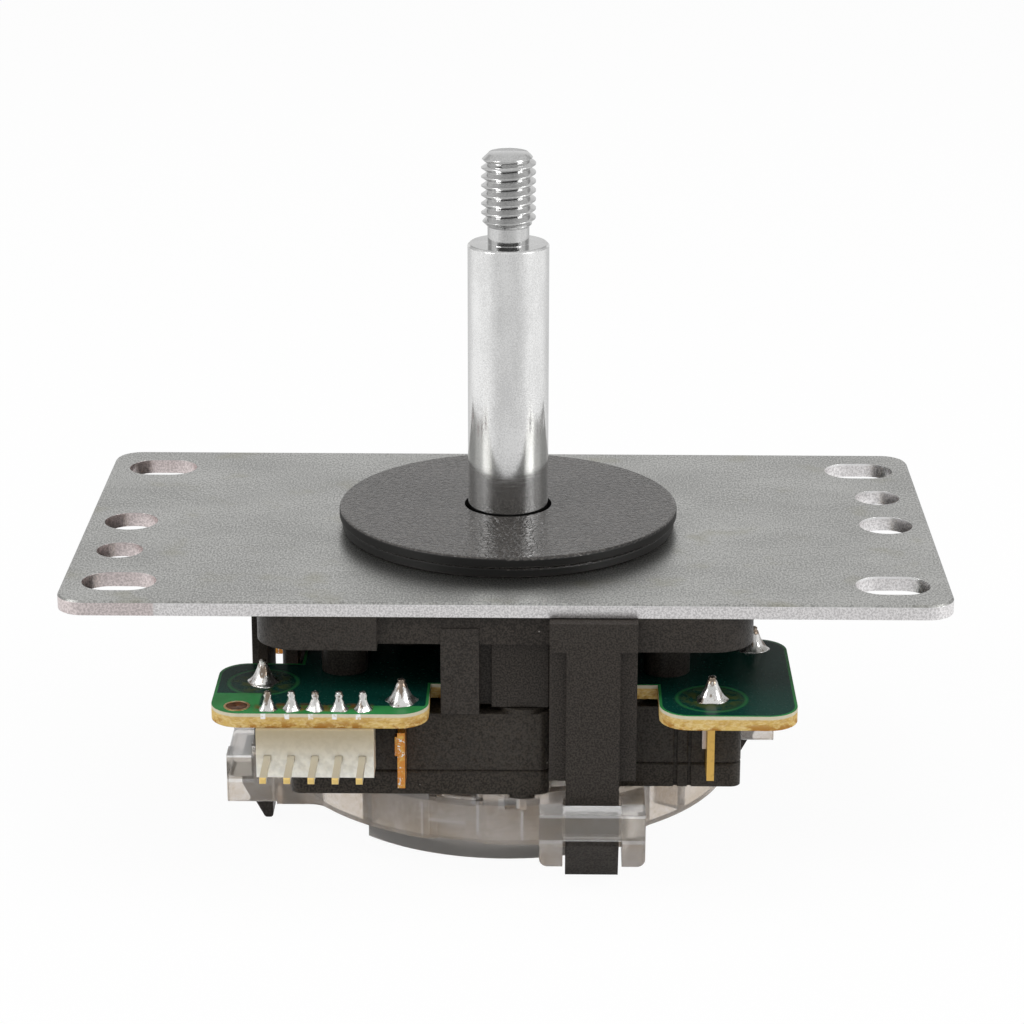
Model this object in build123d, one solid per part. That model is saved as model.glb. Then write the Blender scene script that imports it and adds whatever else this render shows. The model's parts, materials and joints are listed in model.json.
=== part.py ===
from build123d import *
import math
import os

os.makedirs("parts", exist_ok=True)

# An eight way arcade joystick without its ball top.
# Frame: the lever axis is Z, the top face of the mounting plate is z = 0, the front is -Y.
# All lengths are in millimetres and all angles in degrees.

# Mounting plate
PLATE_LENGTH = 95.0
PLATE_WIDTH = 53.0
PLATE_THICKNESS = 1.6
PLATE_CORNER = 3.0
PLATE_EDGE_BREAK = 0.2
SLOT_LENGTH = 8.0
SLOT_WIDTH = 5.7
SLOT_FROM_END = 6.1
SLOT_FROM_EDGE = 6.3
SIDE_HOLE = 6.0
SIDE_HOLE_FROM_END = 4.85
GUIDE_HOLE = 5.1
GUIDE_HOLE_OFFSET = 10.0
PLATE_BORE = 22.0

# Play between pieces that are fixed together
SNUG = 0.03

# Plate screws
SCREW_PITCH = 22.0
SCREW_SHANK = 3.0
SCREW_HEAD = 5.6
SCREW_LENGTH = 8.0
SCREW_SINK = 0.1
SCREW_RECESS = 2.6
SCREW_RECESS_WIDTH = 0.7
SCREW_RECESS_DEPTH = 0.7

# Lever shaft
SHAFT = 9.0
SHAFT_SHOULDER = 32.5
SHAFT_CHAMFER = 0.4
THREAD = 6.0
THREAD_TOP = 42.6
THREAD_CHAMFER = 0.8
NECK = 4.6
NECK_LENGTH = 1.9
SPINDLE = 6.0
SPINDLE_END_BELOW_CLIP = 1.2
SHAFT_SLOT_WIDTH = 1.0
SHAFT_SLOT_DEPTH = 0.9

# Dust washers
UPPER_WASHER = 38.0
WASHER_STEP = 0.3
WASHER_THICKNESS = 1.2
WASHER_EDGE = 0.3
UPPER_WASHER_BORE = 9.8
LOWER_WASHER_BORE = 12.2

# Pivot
PIVOT_DEPTH = 6.0
BALL = 9.6
BALL_BELOW = 3.3
LINER_WALL = 0.75
LINER_ABOVE = 0.8
LINER_BELOW = 3.0
BALL_CLEARANCE = 0.05
SPIN_CLEARANCE = 0.05
TILT = 8.0

# Centring spring and its seat
SEAT_THICKNESS = 0.6
SEAT_OUTER = 18.0
SPRING_WIRE = 0.9
SPRING_MEAN = 14.5
SPRING_COILS = 5.0
SPRING_SIDE_CLEARANCE = 0.3
SPRING_END_CLEARANCE = 0.05

# Actuator
FLANGE = 15.8
FLANGE_DEPTH = 14.0
FLANGE_THICKNESS = 1.2
NECK_SLEEVE = 9.2
NECK_SLEEVE_LENGTH = 1.6
DRUM_GAP = 0.4
DRUM_LENGTH = 4.6
DRUM_TAPER = 1.4
ROD = 10.0
ROD_END = 28.6
CLIP_THICKNESS = 0.7
CLIP_OUTER = 9.4
CLIP_GROOVE = 4.8
CLIP_LUGS = (90, 210, 330)

# Moulded housing
HOUSING_SIDE = 51.4
HOUSING_CORNER = 4.5
PAD_SIDE = 13.0
PAD_REACH = 0.8
PAD_DEPTH = 0.5
SKIRT_DEPTH = 3.3
SKIRT_WALL = 1.8
ROOF = 2.4
SOCKET_WALL = 0.9
SOCKET_BELOW = 3.8
SOCKET_LIP = 7.6
SCREW_BOSS = 6.0
RIB_WALL = 1.4
RIB_DEPTH = 2.6
STANDOFF = 5.0
STANDOFF_PITCH = 35.0

# Legs of the housing, written for the front side and repeated on the others
LEG_CENTRE = 9.4
LEG_WIDTH = 5.7
LEG_INNER = 26.2
LEG_OUTER = 28.1
LEG_PLATE_WIDTH = 9.3
LEG_PLATE_RECESS = 0.8
LEG_PLATE_END = 19.8
BARB_REACH = 1.4
BARB_TIP = 0.9
BARB_END = 30.9
BARB_ROUND = 0.35
POST_LEFT = -6.8
POST_WIDTH = 4.1
POST_FRONT = 25.9
POST_BACK = 22.9
PANEL_LEFT = -1.4
PANEL_WIDTH = 6.1
PANEL_FRONT = 25.0
WEB_FRONT = 24.2
SEAT_GAP = 0.1

# Circuit board
BOARD_TOP = 10.8
BOARD_THICKNESS = 1.6
BOARD_HALF = 31.0
BOARD_CORE_HALF = 22.2
BOARD_CORNER = 3.2
BOARD_BORE = 21.0
NOTCH_LEFT = -8.0
NOTCH_RIGHT = 16.4
LEAD_HOLE = 1.6
PIN_HOLE = 1.0

# Snap action switches, written for the front one
SWITCH_LENGTH = 27.8
SWITCH_HEIGHT = 15.9
SWITCH_THICKNESS = 10.3
SWITCH_BODY = 9.3
SWITCH_PLUNGER_FROM_END = 4.8
SWITCH_INNER = 9.6
SWITCH_CORNER = 1.1
COVER_THICKNESS = 2.7
SPLIT_LINE = 0.2
HOLE_FROM_END = 2.9
HOLE_FROM_FACE = 2.8
MOUNT_HOLE = 3.1
MOUNT_BOSS = 5.8
GROOVE_WIDTH = 0.4
GROOVE_DEPTH = 0.3
GROOVE_FROM_OUTER = (5.6, 7.1)
PLUNGER_WIDTH = 3.0
PLUNGER_HEIGHT = 2.2
PLUNGER_REACH = 1.9
PLUNGER_TAIL = 3.2
PLUNGER_HEAD = 1.2
PLUNGER_CLEARANCE = 0.05
PLUNGER_TIP = 0.8

# Switch terminals
TERMINAL_THICKNESS = 0.8
TERMINAL_WIDTH = 6.3
TERMINAL_RISE = 0.7
TERMINAL_REACH = 3.6
TERMINAL_LEAD = 1.0
TERMINAL_STEP = 0.4
TERMINAL_STEP_REACH = 1.0
TERMINAL_STEP_HEIGHT = 2.2
TERMINAL_STEP_DROP = 1.5
LEAD_PLACE = 1.8
OPEN_LEAD_PLACE = 3.0
COMMON_X = -10.9
OPEN_Y = -22.0
TERMINAL_ROOT = 1.2
TERMINAL_FIT = 0.02
LEAD_ABOVE = 1.6
LEAD_HALVES = (TERMINAL_THICKNESS / 2, TERMINAL_LEAD / 2)

# Connector
HEADER_PINS = 5
HEADER_PITCH = 2.5
HEADER_CENTRE = -19.85
HEADER_SIDE = 1.2
HEADER_FRONT = 31.5
HEADER_DEPTH = 3.4
HEADER_HEIGHT = 5.4
PIN_SIZE = 0.7
PIN_DROP = 3.3
PIN_REACH = 6.0
PIN_ROW = 29.6
PIN_POINT = 0.15

# Solder
CONE_BASE = 3.3
CONE_WAIST = 1.7
CONE_TIP = 0.8
CONE_HEIGHT = 2.9
PIN_CONE_BASE = 1.9
PIN_CONE_WAIST = 1.3
PIN_CONE_TIP = 0.6
PIN_CONE_HEIGHT = 2.1
PIN_ABOVE = 0.9
CONE_WAIST_LEVEL = 0.38

# Restrictor gate
GATE_RADIUS = 25.5
GATE_DEPTH = 5.9
GATE_ROOF = 1.8
GATE_RIM = 1.6
GATE_BOSS_RADIUS = 22.6
GATE_BOSS_HALF = 15.2
GATE_BOSS_DEPTH = 3.0
GATE_FLOOR = 1.5
GATE_FLOOR_BORE = 25.0
GATE_WALL = 1.8
EAR_WIDTH = 11.3
EAR_WALL = 2.9
EAR_CORNER = 0.9
EAR_FILLET = 2.4
EAR_BAR_ROUND = 0.6
EAR_SLOT = 6.3
EAR_BAR = 3.2
LEG_SLIDE = 0.3
POCKET_CLEARANCE = 0.2
GATE_RIB = 1.2
GATE_RIB_ANGLES = (22, 52)

# Latch tongue and windows in the rim of the gate, on the front side
LATCH_LEFT = -8.2
LATCH_RIGHT = -2.3
LATCH_DROP = 1.5
LATCH_SLOT = 0.8
LATCH_PANEL_DEPTH = 0.35
LATCH_GRIP_WIDTH = 4.2
LATCH_GRIP_HEIGHT = 1.9
WINDOW_CENTRE = 1.2
WINDOW_WIDTH = 2.3
WINDOW_TOP = 0.5
WINDOW_HEIGHT = 1.3

# Restrictor plate
INSERT_THICKNESS = 2.6
INSERT_CLEARANCE = 0.25
GATE_TOUCH = 0.35

SIDES = {"front": 0, "right": 90, "rear": 180, "left": 270}

# Levels, measured down from the top face of the plate
plate_under = -PLATE_THICKNESS
pivot = -PIVOT_DEPTH
board_top = -BOARD_TOP
board_under = board_top - BOARD_THICKNESS
switch_boss = (SWITCH_THICKNESS - SWITCH_BODY) / 2
switch_top = board_under - switch_boss
switch_under = switch_top - SWITCH_BODY
switch_middle = (switch_top + switch_under) / 2
terminal_middle = switch_middle + TERMINAL_RISE
terminal_levels = (terminal_middle - TERMINAL_WIDTH / 2, terminal_middle + TERMINAL_WIDTH / 2)
gate_top = switch_under
gate_under = gate_top - GATE_DEPTH
boss_under = gate_under - GATE_BOSS_DEPTH
spring_top = plate_under - ROOF - SEAT_THICKNESS
flange_top = -FLANGE_DEPTH
drum_top = flange_top - FLANGE_THICKNESS
drum_under = drum_top - DRUM_LENGTH
rod_under = -ROD_END
clip_under = rod_under - CLIP_THICKNESS
spindle_end = clip_under - SPINDLE_END_BELOW_CLIP

# Radii and reaches that follow from the values above
ball_radius = BALL / 2
shaft_radius = SHAFT / 2
spindle_radius = SPINDLE / 2
ball_above = math.sqrt(ball_radius**2 - shaft_radius**2)
liner_inner = ball_radius + BALL_CLEARANCE
liner_outer = liner_inner + LINER_WALL
socket_radius = liner_outer + BALL_CLEARANCE
socket_outer = socket_radius + SOCKET_WALL
bore_radius = spindle_radius + SPIN_CLEARANCE
plunger_tip = SWITCH_INNER - PLUNGER_REACH
drum_radius = plunger_tip - DRUM_GAP
switch_outer = SWITCH_INNER + SWITCH_HEIGHT
switch_right = SWITCH_PLUNGER_FROM_END
switch_left = switch_right - SWITCH_LENGTH
ear_reach = LEG_OUTER + EAR_WALL
housing_half = HOUSING_SIDE / 2
pad_half = housing_half + PAD_REACH
skirt_under = plate_under - SKIRT_DEPTH
insert_top = boss_under + GATE_FLOOR + INSERT_THICKNESS
insert_drop = pivot - rod_under
lean = math.tan(math.radians(TILT)) / math.cos(math.radians(TILT))
insert_half = ROD / 2 / math.cos(math.radians(TILT)) + insert_drop * lean + GATE_TOUCH


def block(x_range, y_range, z_range):
    """Box between two values on each axis."""
    size = [abs(high - low) for low, high in (x_range, y_range, z_range)]
    middle = [(high + low) / 2 for low, high in (x_range, y_range, z_range)]
    return Pos(*middle) * Box(*size)


def drum(radius, low, high, x=0.0, y=0.0):
    """Upright cylinder between two heights."""
    return Pos(x, y, (low + high) / 2) * Cylinder(radius, high - low)


def turned(points):
    """Solid of revolution about the lever axis from radius and height pairs."""
    return revolve(Plane.XZ * make_face(Polyline(*points, close=True)), Axis.Z)


def rounded_square(half, corner, low, high):
    """Square plate with rounded corners between two heights."""
    outline = RectangleRounded(2 * half, 2 * half, corner)
    return Pos(0, 0, low) * extrude(outline, high - low)


def around(shape, angle):
    """The same shape on another side of the lever axis."""
    return Rot(0, 0, angle) * shape


def on_all_sides(shape):
    """Four copies of a shape of the front side, a quarter turn apart."""
    return [around(shape, angle) for angle in SIDES.values()]


def screw_places():
    return [(sx * SCREW_PITCH / 2, sy * SCREW_PITCH / 2) for sx in (-1, 1) for sy in (-1, 1)]


def mounting_plate():
    outline = RectangleRounded(PLATE_LENGTH, PLATE_WIDTH, PLATE_CORNER)
    plate = Pos(0, 0, plate_under) * extrude(outline, PLATE_THICKNESS)
    plate = chamfer(plate.faces().sort_by(Axis.Z)[-1].outer_wire().edges(), PLATE_EDGE_BREAK)
    cutters = Sketch() + Circle(PLATE_BORE / 2)
    for sx in (-1, 1):
        side = sx * (PLATE_LENGTH / 2 - SIDE_HOLE_FROM_END)
        cutters += Pos(side, 0) * Circle(SIDE_HOLE / 2)
        cutters += Pos(side, sx * GUIDE_HOLE_OFFSET) * Circle(GUIDE_HOLE / 2)
        for sy in (-1, 1):
            corner = Pos(sx * (PLATE_LENGTH / 2 - SLOT_FROM_END), sy * (PLATE_WIDTH / 2 - SLOT_FROM_EDGE))
            cutters += corner * SlotOverall(SLOT_LENGTH, SLOT_WIDTH)
    plate -= Pos(0, 0, plate_under) * extrude(cutters, PLATE_THICKNESS)
    for x, y in screw_places():
        plate -= Pos(x, y, 0) * screw_form(SCREW_SINK)
    return plate


def screw_form(room):
    """Countersunk screw, grown by some room for the hole that takes it."""
    head = SCREW_HEAD / 2 + room
    shank = SCREW_SHANK / 2 + room
    cone_end = shank - head - SCREW_SINK
    points = [(0, 0), (head, 0), (head, -SCREW_SINK), (shank, cone_end)]
    points += [(shank, -SCREW_LENGTH - room), (0, -SCREW_LENGTH - room)]
    return turned(points)


def plate_screws():
    recess = Box(SCREW_RECESS, SCREW_RECESS_WIDTH, 2 * SCREW_RECESS_DEPTH)
    recess += Box(SCREW_RECESS_WIDTH, SCREW_RECESS, 2 * SCREW_RECESS_DEPTH)
    screw = screw_form(0) - recess
    return Compound(children=[Pos(x, y, -SCREW_SINK) * screw for x, y in screw_places()])


def washer(outer, bore, level):
    disc = drum(outer / 2, level, level + WASHER_THICKNESS)
    disc = fillet(disc.edges().filter_by(GeomType.CIRCLE), WASHER_EDGE)
    return disc - drum(bore / 2, level, level + WASHER_THICKNESS)


def lever_shaft():
    thread = THREAD / 2
    neck = NECK / 2
    groove = CLIP_GROOVE / 2
    neck_top = SHAFT_SHOULDER + NECK_LENGTH
    ball_top = pivot + ball_above
    points = [(0, THREAD_TOP), (thread - THREAD_CHAMFER, THREAD_TOP)]
    points += [(thread, THREAD_TOP - THREAD_CHAMFER), (thread, neck_top + thread - neck)]
    points += [(neck, neck_top), (neck, SHAFT_SHOULDER)]
    points += [(shaft_radius - SHAFT_CHAMFER, SHAFT_SHOULDER)]
    points += [(shaft_radius, SHAFT_SHOULDER - SHAFT_CHAMFER), (shaft_radius, ball_top)]
    points += [(spindle_radius, ball_top), (spindle_radius, rod_under)]
    points += [(groove, rod_under), (groove, clip_under - SNUG)]
    points += [(spindle_radius, clip_under - SNUG)]
    points += [(spindle_radius, spindle_end + SHAFT_CHAMFER)]
    points += [(spindle_radius - SHAFT_CHAMFER, spindle_end), (0, spindle_end)]
    slot = block((-THREAD, THREAD), (-SHAFT_SLOT_WIDTH / 2, SHAFT_SLOT_WIDTH / 2),
                 (spindle_end, spindle_end + SHAFT_SLOT_DEPTH))
    return turned(points) - slot


def e_clip():
    outer = CLIP_OUTER / 2
    inner = CLIP_GROOVE / 2 + SNUG
    land = (outer + inner) / 2
    ring = Circle(outer) - Circle(land)
    for angle in CLIP_LUGS:
        ring += Rot(0, 0, angle) * Pos((land + outer) / 2, 0) * Rectangle(outer - inner, inner)
    ring -= Circle(inner)
    ring -= Pos(0, -outer) * Rectangle(2 * inner, 2 * outer)
    ring = Sketch() + ring.intersect(Circle(outer))
    return Pos(0, 0, clip_under) * extrude(ring, CLIP_THICKNESS)


def zone(radius, low, high):
    """Slice of a ball about the pivot, between two heights from its centre."""
    ball = Pos(0, 0, pivot) * Sphere(radius)
    return ball & drum(radius * 2, pivot + low, pivot + high)


def pivot_ball():
    return zone(ball_radius, -BALL_BELOW, ball_above) - drum(bore_radius, pivot - BALL, pivot + BALL)


def pivot_liner():
    return zone(liner_outer, -LINER_BELOW, LINER_ABOVE) - Pos(0, 0, pivot) * Sphere(liner_inner)


def spring_seat():
    low = spring_top
    inner = socket_outer + SPRING_SIDE_CLEARANCE / 2
    ring = drum(SEAT_OUTER / 2, low, low + SEAT_THICKNESS)
    return ring - drum(inner, low, low + SEAT_THICKNESS)


def centring_spring():
    wire = SPRING_WIRE / 2
    start = flange_top + wire + SPRING_END_CLEARANCE
    height = spring_top - SPRING_END_CLEARANCE - wire - start
    path = Helix(height / SPRING_COILS, height, SPRING_MEAN / 2)
    section = Plane(origin=path @ 0, z_dir=path % 0) * Circle(wire)
    return Pos(0, 0, start) * sweep(section, path=path, is_frenet=True)


def actuator():
    sleeve = NECK_SLEEVE / 2
    flange = FLANGE / 2
    rod = ROD / 2
    top = flange_top + NECK_SLEEVE_LENGTH
    points = [(bore_radius, top), (sleeve, top), (sleeve, flange_top), (flange, flange_top)]
    points += [(flange, drum_top), (drum_radius, drum_top), (drum_radius, drum_under)]
    points += [(rod, drum_under - DRUM_TAPER), (rod, rod_under), (bore_radius, rod_under)]
    return turned(points)


def leg():
    """Snap leg of the front side: a stiff plate, a springy clip in front of it and a barb."""
    clip = (LEG_CENTRE - LEG_WIDTH / 2, LEG_CENTRE + LEG_WIDTH / 2)
    wide = (LEG_CENTRE - LEG_PLATE_WIDTH / 2, LEG_CENTRE + LEG_PLATE_WIDTH / 2)
    ledge = gate_top - EAR_BAR - SEAT_GAP
    top = plate_under - SEAT_GAP
    profile = Polyline(
        (-LEG_INNER, top), (-LEG_OUTER, top), (-LEG_OUTER, ledge),
        (-LEG_OUTER - BARB_REACH, ledge), (-LEG_OUTER - BARB_REACH, ledge - BARB_TIP),
        (-LEG_INNER - BARB_TIP, -BARB_END), (-LEG_INNER, -BARB_END), close=True)
    side = Sketch() + make_face(profile)
    side = fillet(side.vertices().sort_by(Axis.Y)[:2], BARB_ROUND)
    spring_leg = Pos(clip[0], 0, 0) * extrude(Plane.YZ * side, LEG_WIDTH)
    stiff = block(wide, (LEG_PLATE_RECESS - LEG_OUTER, -LEG_INNER), (-LEG_PLATE_END, skirt_under))
    root = block(wide, (-LEG_OUTER, -housing_half + SKIRT_WALL), (skirt_under, top))
    return spring_leg + stiff + root


def front_posts():
    """Post, panel and web between the roof and the front switch."""
    low = board_under + SEAT_GAP
    high = skirt_under + SKIRT_WALL
    foot = switch_top + SEAT_GAP
    post = block((POST_LEFT, POST_LEFT + POST_WIDTH), (-POST_FRONT, -POST_BACK), (foot, high))
    panel = block((PANEL_LEFT, PANEL_LEFT + PANEL_WIDTH), (-PANEL_FRONT, -POST_BACK), (low, high))
    end = LEG_CENTRE - LEG_WIDTH / 2
    web = block((POST_LEFT, end), (-WEB_FRONT, -POST_BACK), (low, high))
    bridge = block((end, LEG_CENTRE + LEG_PLATE_WIDTH / 2), (-LEG_OUTER + LEG_PLATE_RECESS, -POST_BACK),
                   (low, high))
    bridge -= block((end, LEG_CENTRE + LEG_PLATE_WIDTH / 2), (-LEG_INNER, -WEB_FRONT), (low, skirt_under))
    return post + panel + web + bridge


def socket():
    """Cup that carries the pivot, with a flared mouth for the lean of the lever."""
    bottom = pivot - SOCKET_BELOW
    waist = pivot - SOCKET_BELOW / 2
    foot = math.sqrt(socket_radius**2 - SOCKET_BELOW**2) + SOCKET_WALL
    points = [(0, bottom), (foot, bottom), (socket_outer, waist), (socket_outer, plate_under)]
    points += [(0, plate_under)]
    cup = turned(points)
    cup -= Pos(0, 0, pivot) * Sphere(socket_radius)
    cup -= drum(socket_radius, pivot, plate_under)
    flare = [(0, pivot + ball_above), (socket_radius, pivot + ball_above)]
    flare += [(SOCKET_LIP, plate_under), (0, plate_under)]
    return cup, turned(flare)


def housing():
    cup, flare = socket()
    body = rounded_square(housing_half, HOUSING_CORNER, skirt_under, plate_under)
    pads = rounded_square(pad_half, HOUSING_CORNER, skirt_under - PAD_DEPTH, plate_under)
    quarter = block((-pad_half, -pad_half + PAD_SIDE), (-pad_half, -pad_half + PAD_SIDE),
                    (skirt_under - PAD_DEPTH, plate_under))
    corner = pads & quarter
    for shape in on_all_sides(corner):
        body += shape
    room = rounded_square(housing_half - SKIRT_WALL, HOUSING_CORNER - SKIRT_WALL,
                          skirt_under - PAD_DEPTH, plate_under - ROOF)
    body -= room
    rib = block((-RIB_WALL / 2, RIB_WALL / 2), (-housing_half + SKIRT_WALL, -SEAT_OUTER / 2 - RIB_WALL),
                (plate_under - ROOF - RIB_DEPTH, plate_under))
    for shape in on_all_sides(rib):
        body += shape
    for x, y in screw_places():
        body += drum(SCREW_BOSS / 2, -SCREW_LENGTH - SCREW_SHANK / 2, plate_under, x, y)
    for sx in (-1, 1):
        for sy in (-1, 1):
            place = (sx * STANDOFF_PITCH / 2, sy * STANDOFF_PITCH / 2)
            body += drum(STANDOFF / 2, board_top, plate_under, *place)
    for shape in on_all_sides(leg()) + on_all_sides(front_posts()):
        body += shape
    body += cup
    body -= flare
    body -= drum(socket_radius, pivot, plate_under)
    body -= Pos(0, 0, pivot) * Sphere(socket_radius)
    for x, y in screw_places():
        body -= drum(SCREW_SHANK / 2 + SNUG, -SCREW_LENGTH - SNUG - SCREW_SINK, plate_under, x, y)
    return body


def board_outline():
    lobe_x = (-BOARD_HALF, NOTCH_LEFT)
    lobe_y = (-BOARD_HALF, -NOTCH_RIGHT)
    width = lobe_x[1] - lobe_x[0]
    depth = lobe_y[1] - lobe_y[0]
    lobe = Pos(sum(lobe_x) / 2, sum(lobe_y) / 2) * RectangleRounded(width, depth, BOARD_CORNER)
    outline = Sketch() + Rectangle(2 * BOARD_CORE_HALF, 2 * BOARD_CORE_HALF)
    for shape in on_all_sides(lobe):
        outline += shape
    return outline


def lead_places():
    """Where the two leads of the front switch pass the board."""
    return [(COMMON_X, -switch_outer - LEAD_PLACE), (switch_left - OPEN_LEAD_PLACE, OPEN_Y)]


def pin_places():
    first = HEADER_CENTRE - HEADER_PITCH * (HEADER_PINS - 1) / 2
    return [first + index * HEADER_PITCH for index in range(HEADER_PINS)]


def circuit_board():
    board = Pos(0, 0, board_under) * extrude(board_outline(), BOARD_THICKNESS)
    board -= drum(BOARD_BORE / 2, board_under, board_top)
    for angle in SIDES.values():
        for x, y in lead_places():
            board -= around(drum(LEAD_HOLE / 2, board_under, board_top, x, y), angle)
    for x in pin_places():
        board -= drum(PIN_HOLE / 2, board_under, board_top, x, -PIN_ROW)
    return board


def mount_places():
    """The two mounting holes of the front switch, on a diagonal."""
    near = (switch_right - HOLE_FROM_END, -switch_outer + HOLE_FROM_FACE)
    far = (switch_left + HOLE_FROM_END, -SWITCH_INNER - HOLE_FROM_FACE)
    return [near, far]


def switch_prism(low, high):
    width = switch_right - switch_left
    outline = RectangleRounded(width, SWITCH_HEIGHT, SWITCH_CORNER)
    place = Pos((switch_left + switch_right) / 2, -(SWITCH_INNER + switch_outer) / 2, low)
    return place * extrude(outline, high - low)


def switch_details(shape, low, high):
    """Cuts the mounting holes and the end grooves into a part of the front switch."""
    for x, y in mount_places():
        shape -= drum(MOUNT_HOLE / 2, low - switch_boss, high + switch_boss, x, y)
    for offset in GROOVE_FROM_OUTER:
        y = -switch_outer + offset
        shape -= block((switch_left, switch_left + GROOVE_DEPTH),
                       (y - GROOVE_WIDTH / 2, y + GROOVE_WIDTH / 2), (low, high))
    return shape


def plunger_form(room):
    """Plunger of the front switch, grown by some room for its guide."""
    half = PLUNGER_WIDTH / 2 + room
    rise = PLUNGER_HEIGHT / 2 + room
    tail = SWITCH_INNER + PLUNGER_TAIL
    return block((-half, half), (-tail, -plunger_tip), (switch_middle - rise, switch_middle + rise))


def plunger_head(room, travel):
    """Collar that keeps the plunger in its case, with room to travel outward and inward."""
    half = PLUNGER_WIDTH / 2 + PLUNGER_HEAD + room
    rise = PLUNGER_HEIGHT / 2 + room
    tail = SWITCH_INNER + PLUNGER_TAIL
    return block((-half, half), (-tail - PLUNGER_HEAD - travel, -tail + travel),
                 (switch_middle - rise, switch_middle + rise))


def plunger():
    pin = plunger_form(0)
    edges = pin.edges().filter_by(Axis.Z).sort_by(Axis.Y)[-2:]
    pin = fillet(edges, PLUNGER_TIP)
    return pin + plunger_head(0, 0)


def switch_case():
    split = switch_under + COVER_THICKNESS
    case = switch_prism(split, switch_top)
    case = chamfer(case.faces().sort_by(Axis.Z)[0].edges(), SPLIT_LINE)
    for x, y in mount_places():
        case += drum(MOUNT_BOSS / 2, switch_top, switch_top + switch_boss, x, y)
    case = switch_details(case, split, switch_top)
    case -= plunger_form(PLUNGER_CLEARANCE)
    case -= plunger_head(PLUNGER_CLEARANCE, PLUNGER_REACH)
    for cutter in terminal_roots(TERMINAL_FIT):
        case -= cutter
    return case


def switch_cover():
    split = switch_under + COVER_THICKNESS
    cover = switch_prism(switch_under, split)
    cover = chamfer(cover.faces().sort_by(Axis.Z)[-1].edges(), SPLIT_LINE)
    for x, y in mount_places():
        cover += drum(MOUNT_BOSS / 2, switch_under - switch_boss, switch_under, x, y)
    cover = switch_details(cover, switch_under, split)
    for cutter in terminal_roots(TERMINAL_FIT):
        cover -= cutter
    return cover


def terminal_roots(room):
    """The parts of the two blades that sit in the case, grown by some room."""
    half = TERMINAL_THICKNESS / 2 + room
    heights = (terminal_levels[0] - room, terminal_levels[1] + room)
    common = block((COMMON_X - half, COMMON_X + half),
                   (-switch_outer, -switch_outer + TERMINAL_ROOT + room), heights)
    opened = block((switch_left, switch_left + TERMINAL_ROOT + room),
                   (OPEN_Y - half, OPEN_Y + half), heights)
    return [common, opened]


def switch_terminals():
    half = TERMINAL_THICKNESS / 2
    lead_heights = (terminal_levels[1] - TERMINAL_THICKNESS, board_top + LEAD_ABOVE)
    blades = terminal_roots(0)
    blades[0] += block((COMMON_X - half, COMMON_X + half),
                       (-switch_outer - TERMINAL_REACH, -switch_outer), terminal_levels)
    blades[1] += block((switch_left - TERMINAL_REACH, switch_left),
                       (OPEN_Y - half, OPEN_Y + half), terminal_levels)
    step_top = terminal_levels[1] - TERMINAL_STEP_DROP
    step_heights = (step_top - TERMINAL_STEP_HEIGHT, step_top)
    blades[0] += block((COMMON_X - half - TERMINAL_STEP, COMMON_X - half),
                       (-switch_outer - TERMINAL_STEP_REACH, -switch_outer), step_heights)
    blades[1] += block((switch_left - TERMINAL_STEP_REACH, switch_left),
                       (OPEN_Y + half, OPEN_Y + half + TERMINAL_STEP), step_heights)
    for index, (x, y) in enumerate(lead_places()):
        dx, dy = LEAD_HALVES if index == 0 else LEAD_HALVES[::-1]
        blades[index] += block((x - dx, x + dx), (y - dy, y + dy), lead_heights)
    return Compound(children=blades)


def header_body():
    half = HEADER_PITCH * (HEADER_PINS - 1) / 2 + HEADER_SIDE
    low = board_under - HEADER_HEIGHT
    body = block((HEADER_CENTRE - half, HEADER_CENTRE + half),
                 (-HEADER_FRONT, -HEADER_FRONT + HEADER_DEPTH), (low, board_under))
    for x in pin_places():
        for cutter in pin_runs(x, SNUG):
            body -= cutter
    return body


def pin_runs(x, room):
    """Upright and forward runs of one bent pin."""
    half = PIN_SIZE / 2 + room
    level = board_under - PIN_DROP
    upright = block((x - half, x + half), (-PIN_ROW - half, -PIN_ROW + half),
                    (level - half, board_top + PIN_ABOVE))
    forward = block((x - half, x + half), (-HEADER_FRONT - PIN_REACH, -PIN_ROW + half),
                    (level - half, level + half))
    return [upright, forward]


def header_pins():
    pins = []
    for x in pin_places():
        upright, forward = pin_runs(x, 0)
        pin = upright + forward
        tip = pin.faces().sort_by(Axis.Y)[0].edges()
        pins.append(chamfer(tip, PIN_POINT))
    return Compound(children=pins)


def solder_form(base, waist, tip, height):
    """Cone of solder with a hollow flank, standing on the origin."""
    foot, top = (base / 2, 0), (tip / 2, height)
    flank = ThreePointArc(foot, (waist / 2, height * CONE_WAIST_LEVEL), top)
    outline = flank + Polyline(top, (0, height), (0, 0), foot)
    return revolve(Plane.XZ * make_face(outline), Axis.Z)


def solder_cone(form, above, x, y, lead_x, lead_y):
    """Cone of solder over the end of a square lead."""
    lead = block((x - lead_x, x + lead_x), (y - lead_y, y + lead_y), (board_top, board_top + above))
    return Pos(x, y, board_top) * form - lead


def solder_joints():
    cones = []
    large = solder_form(CONE_BASE, CONE_WAIST, CONE_TIP, CONE_HEIGHT)
    for angle in SIDES.values():
        for (x, y), (dx, dy) in zip(lead_places(), (LEAD_HALVES, LEAD_HALVES[::-1])):
            cones.append(around(solder_cone(large, LEAD_ABOVE, x, y, dx, dy), angle))
    small = solder_form(PIN_CONE_BASE, PIN_CONE_WAIST, PIN_CONE_TIP, PIN_CONE_HEIGHT)
    pin = PIN_SIZE / 2
    for x in pin_places():
        cones.append(solder_cone(small, PIN_ABOVE, x, -PIN_ROW, pin, pin))
    return Compound(children=cones)


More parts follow.
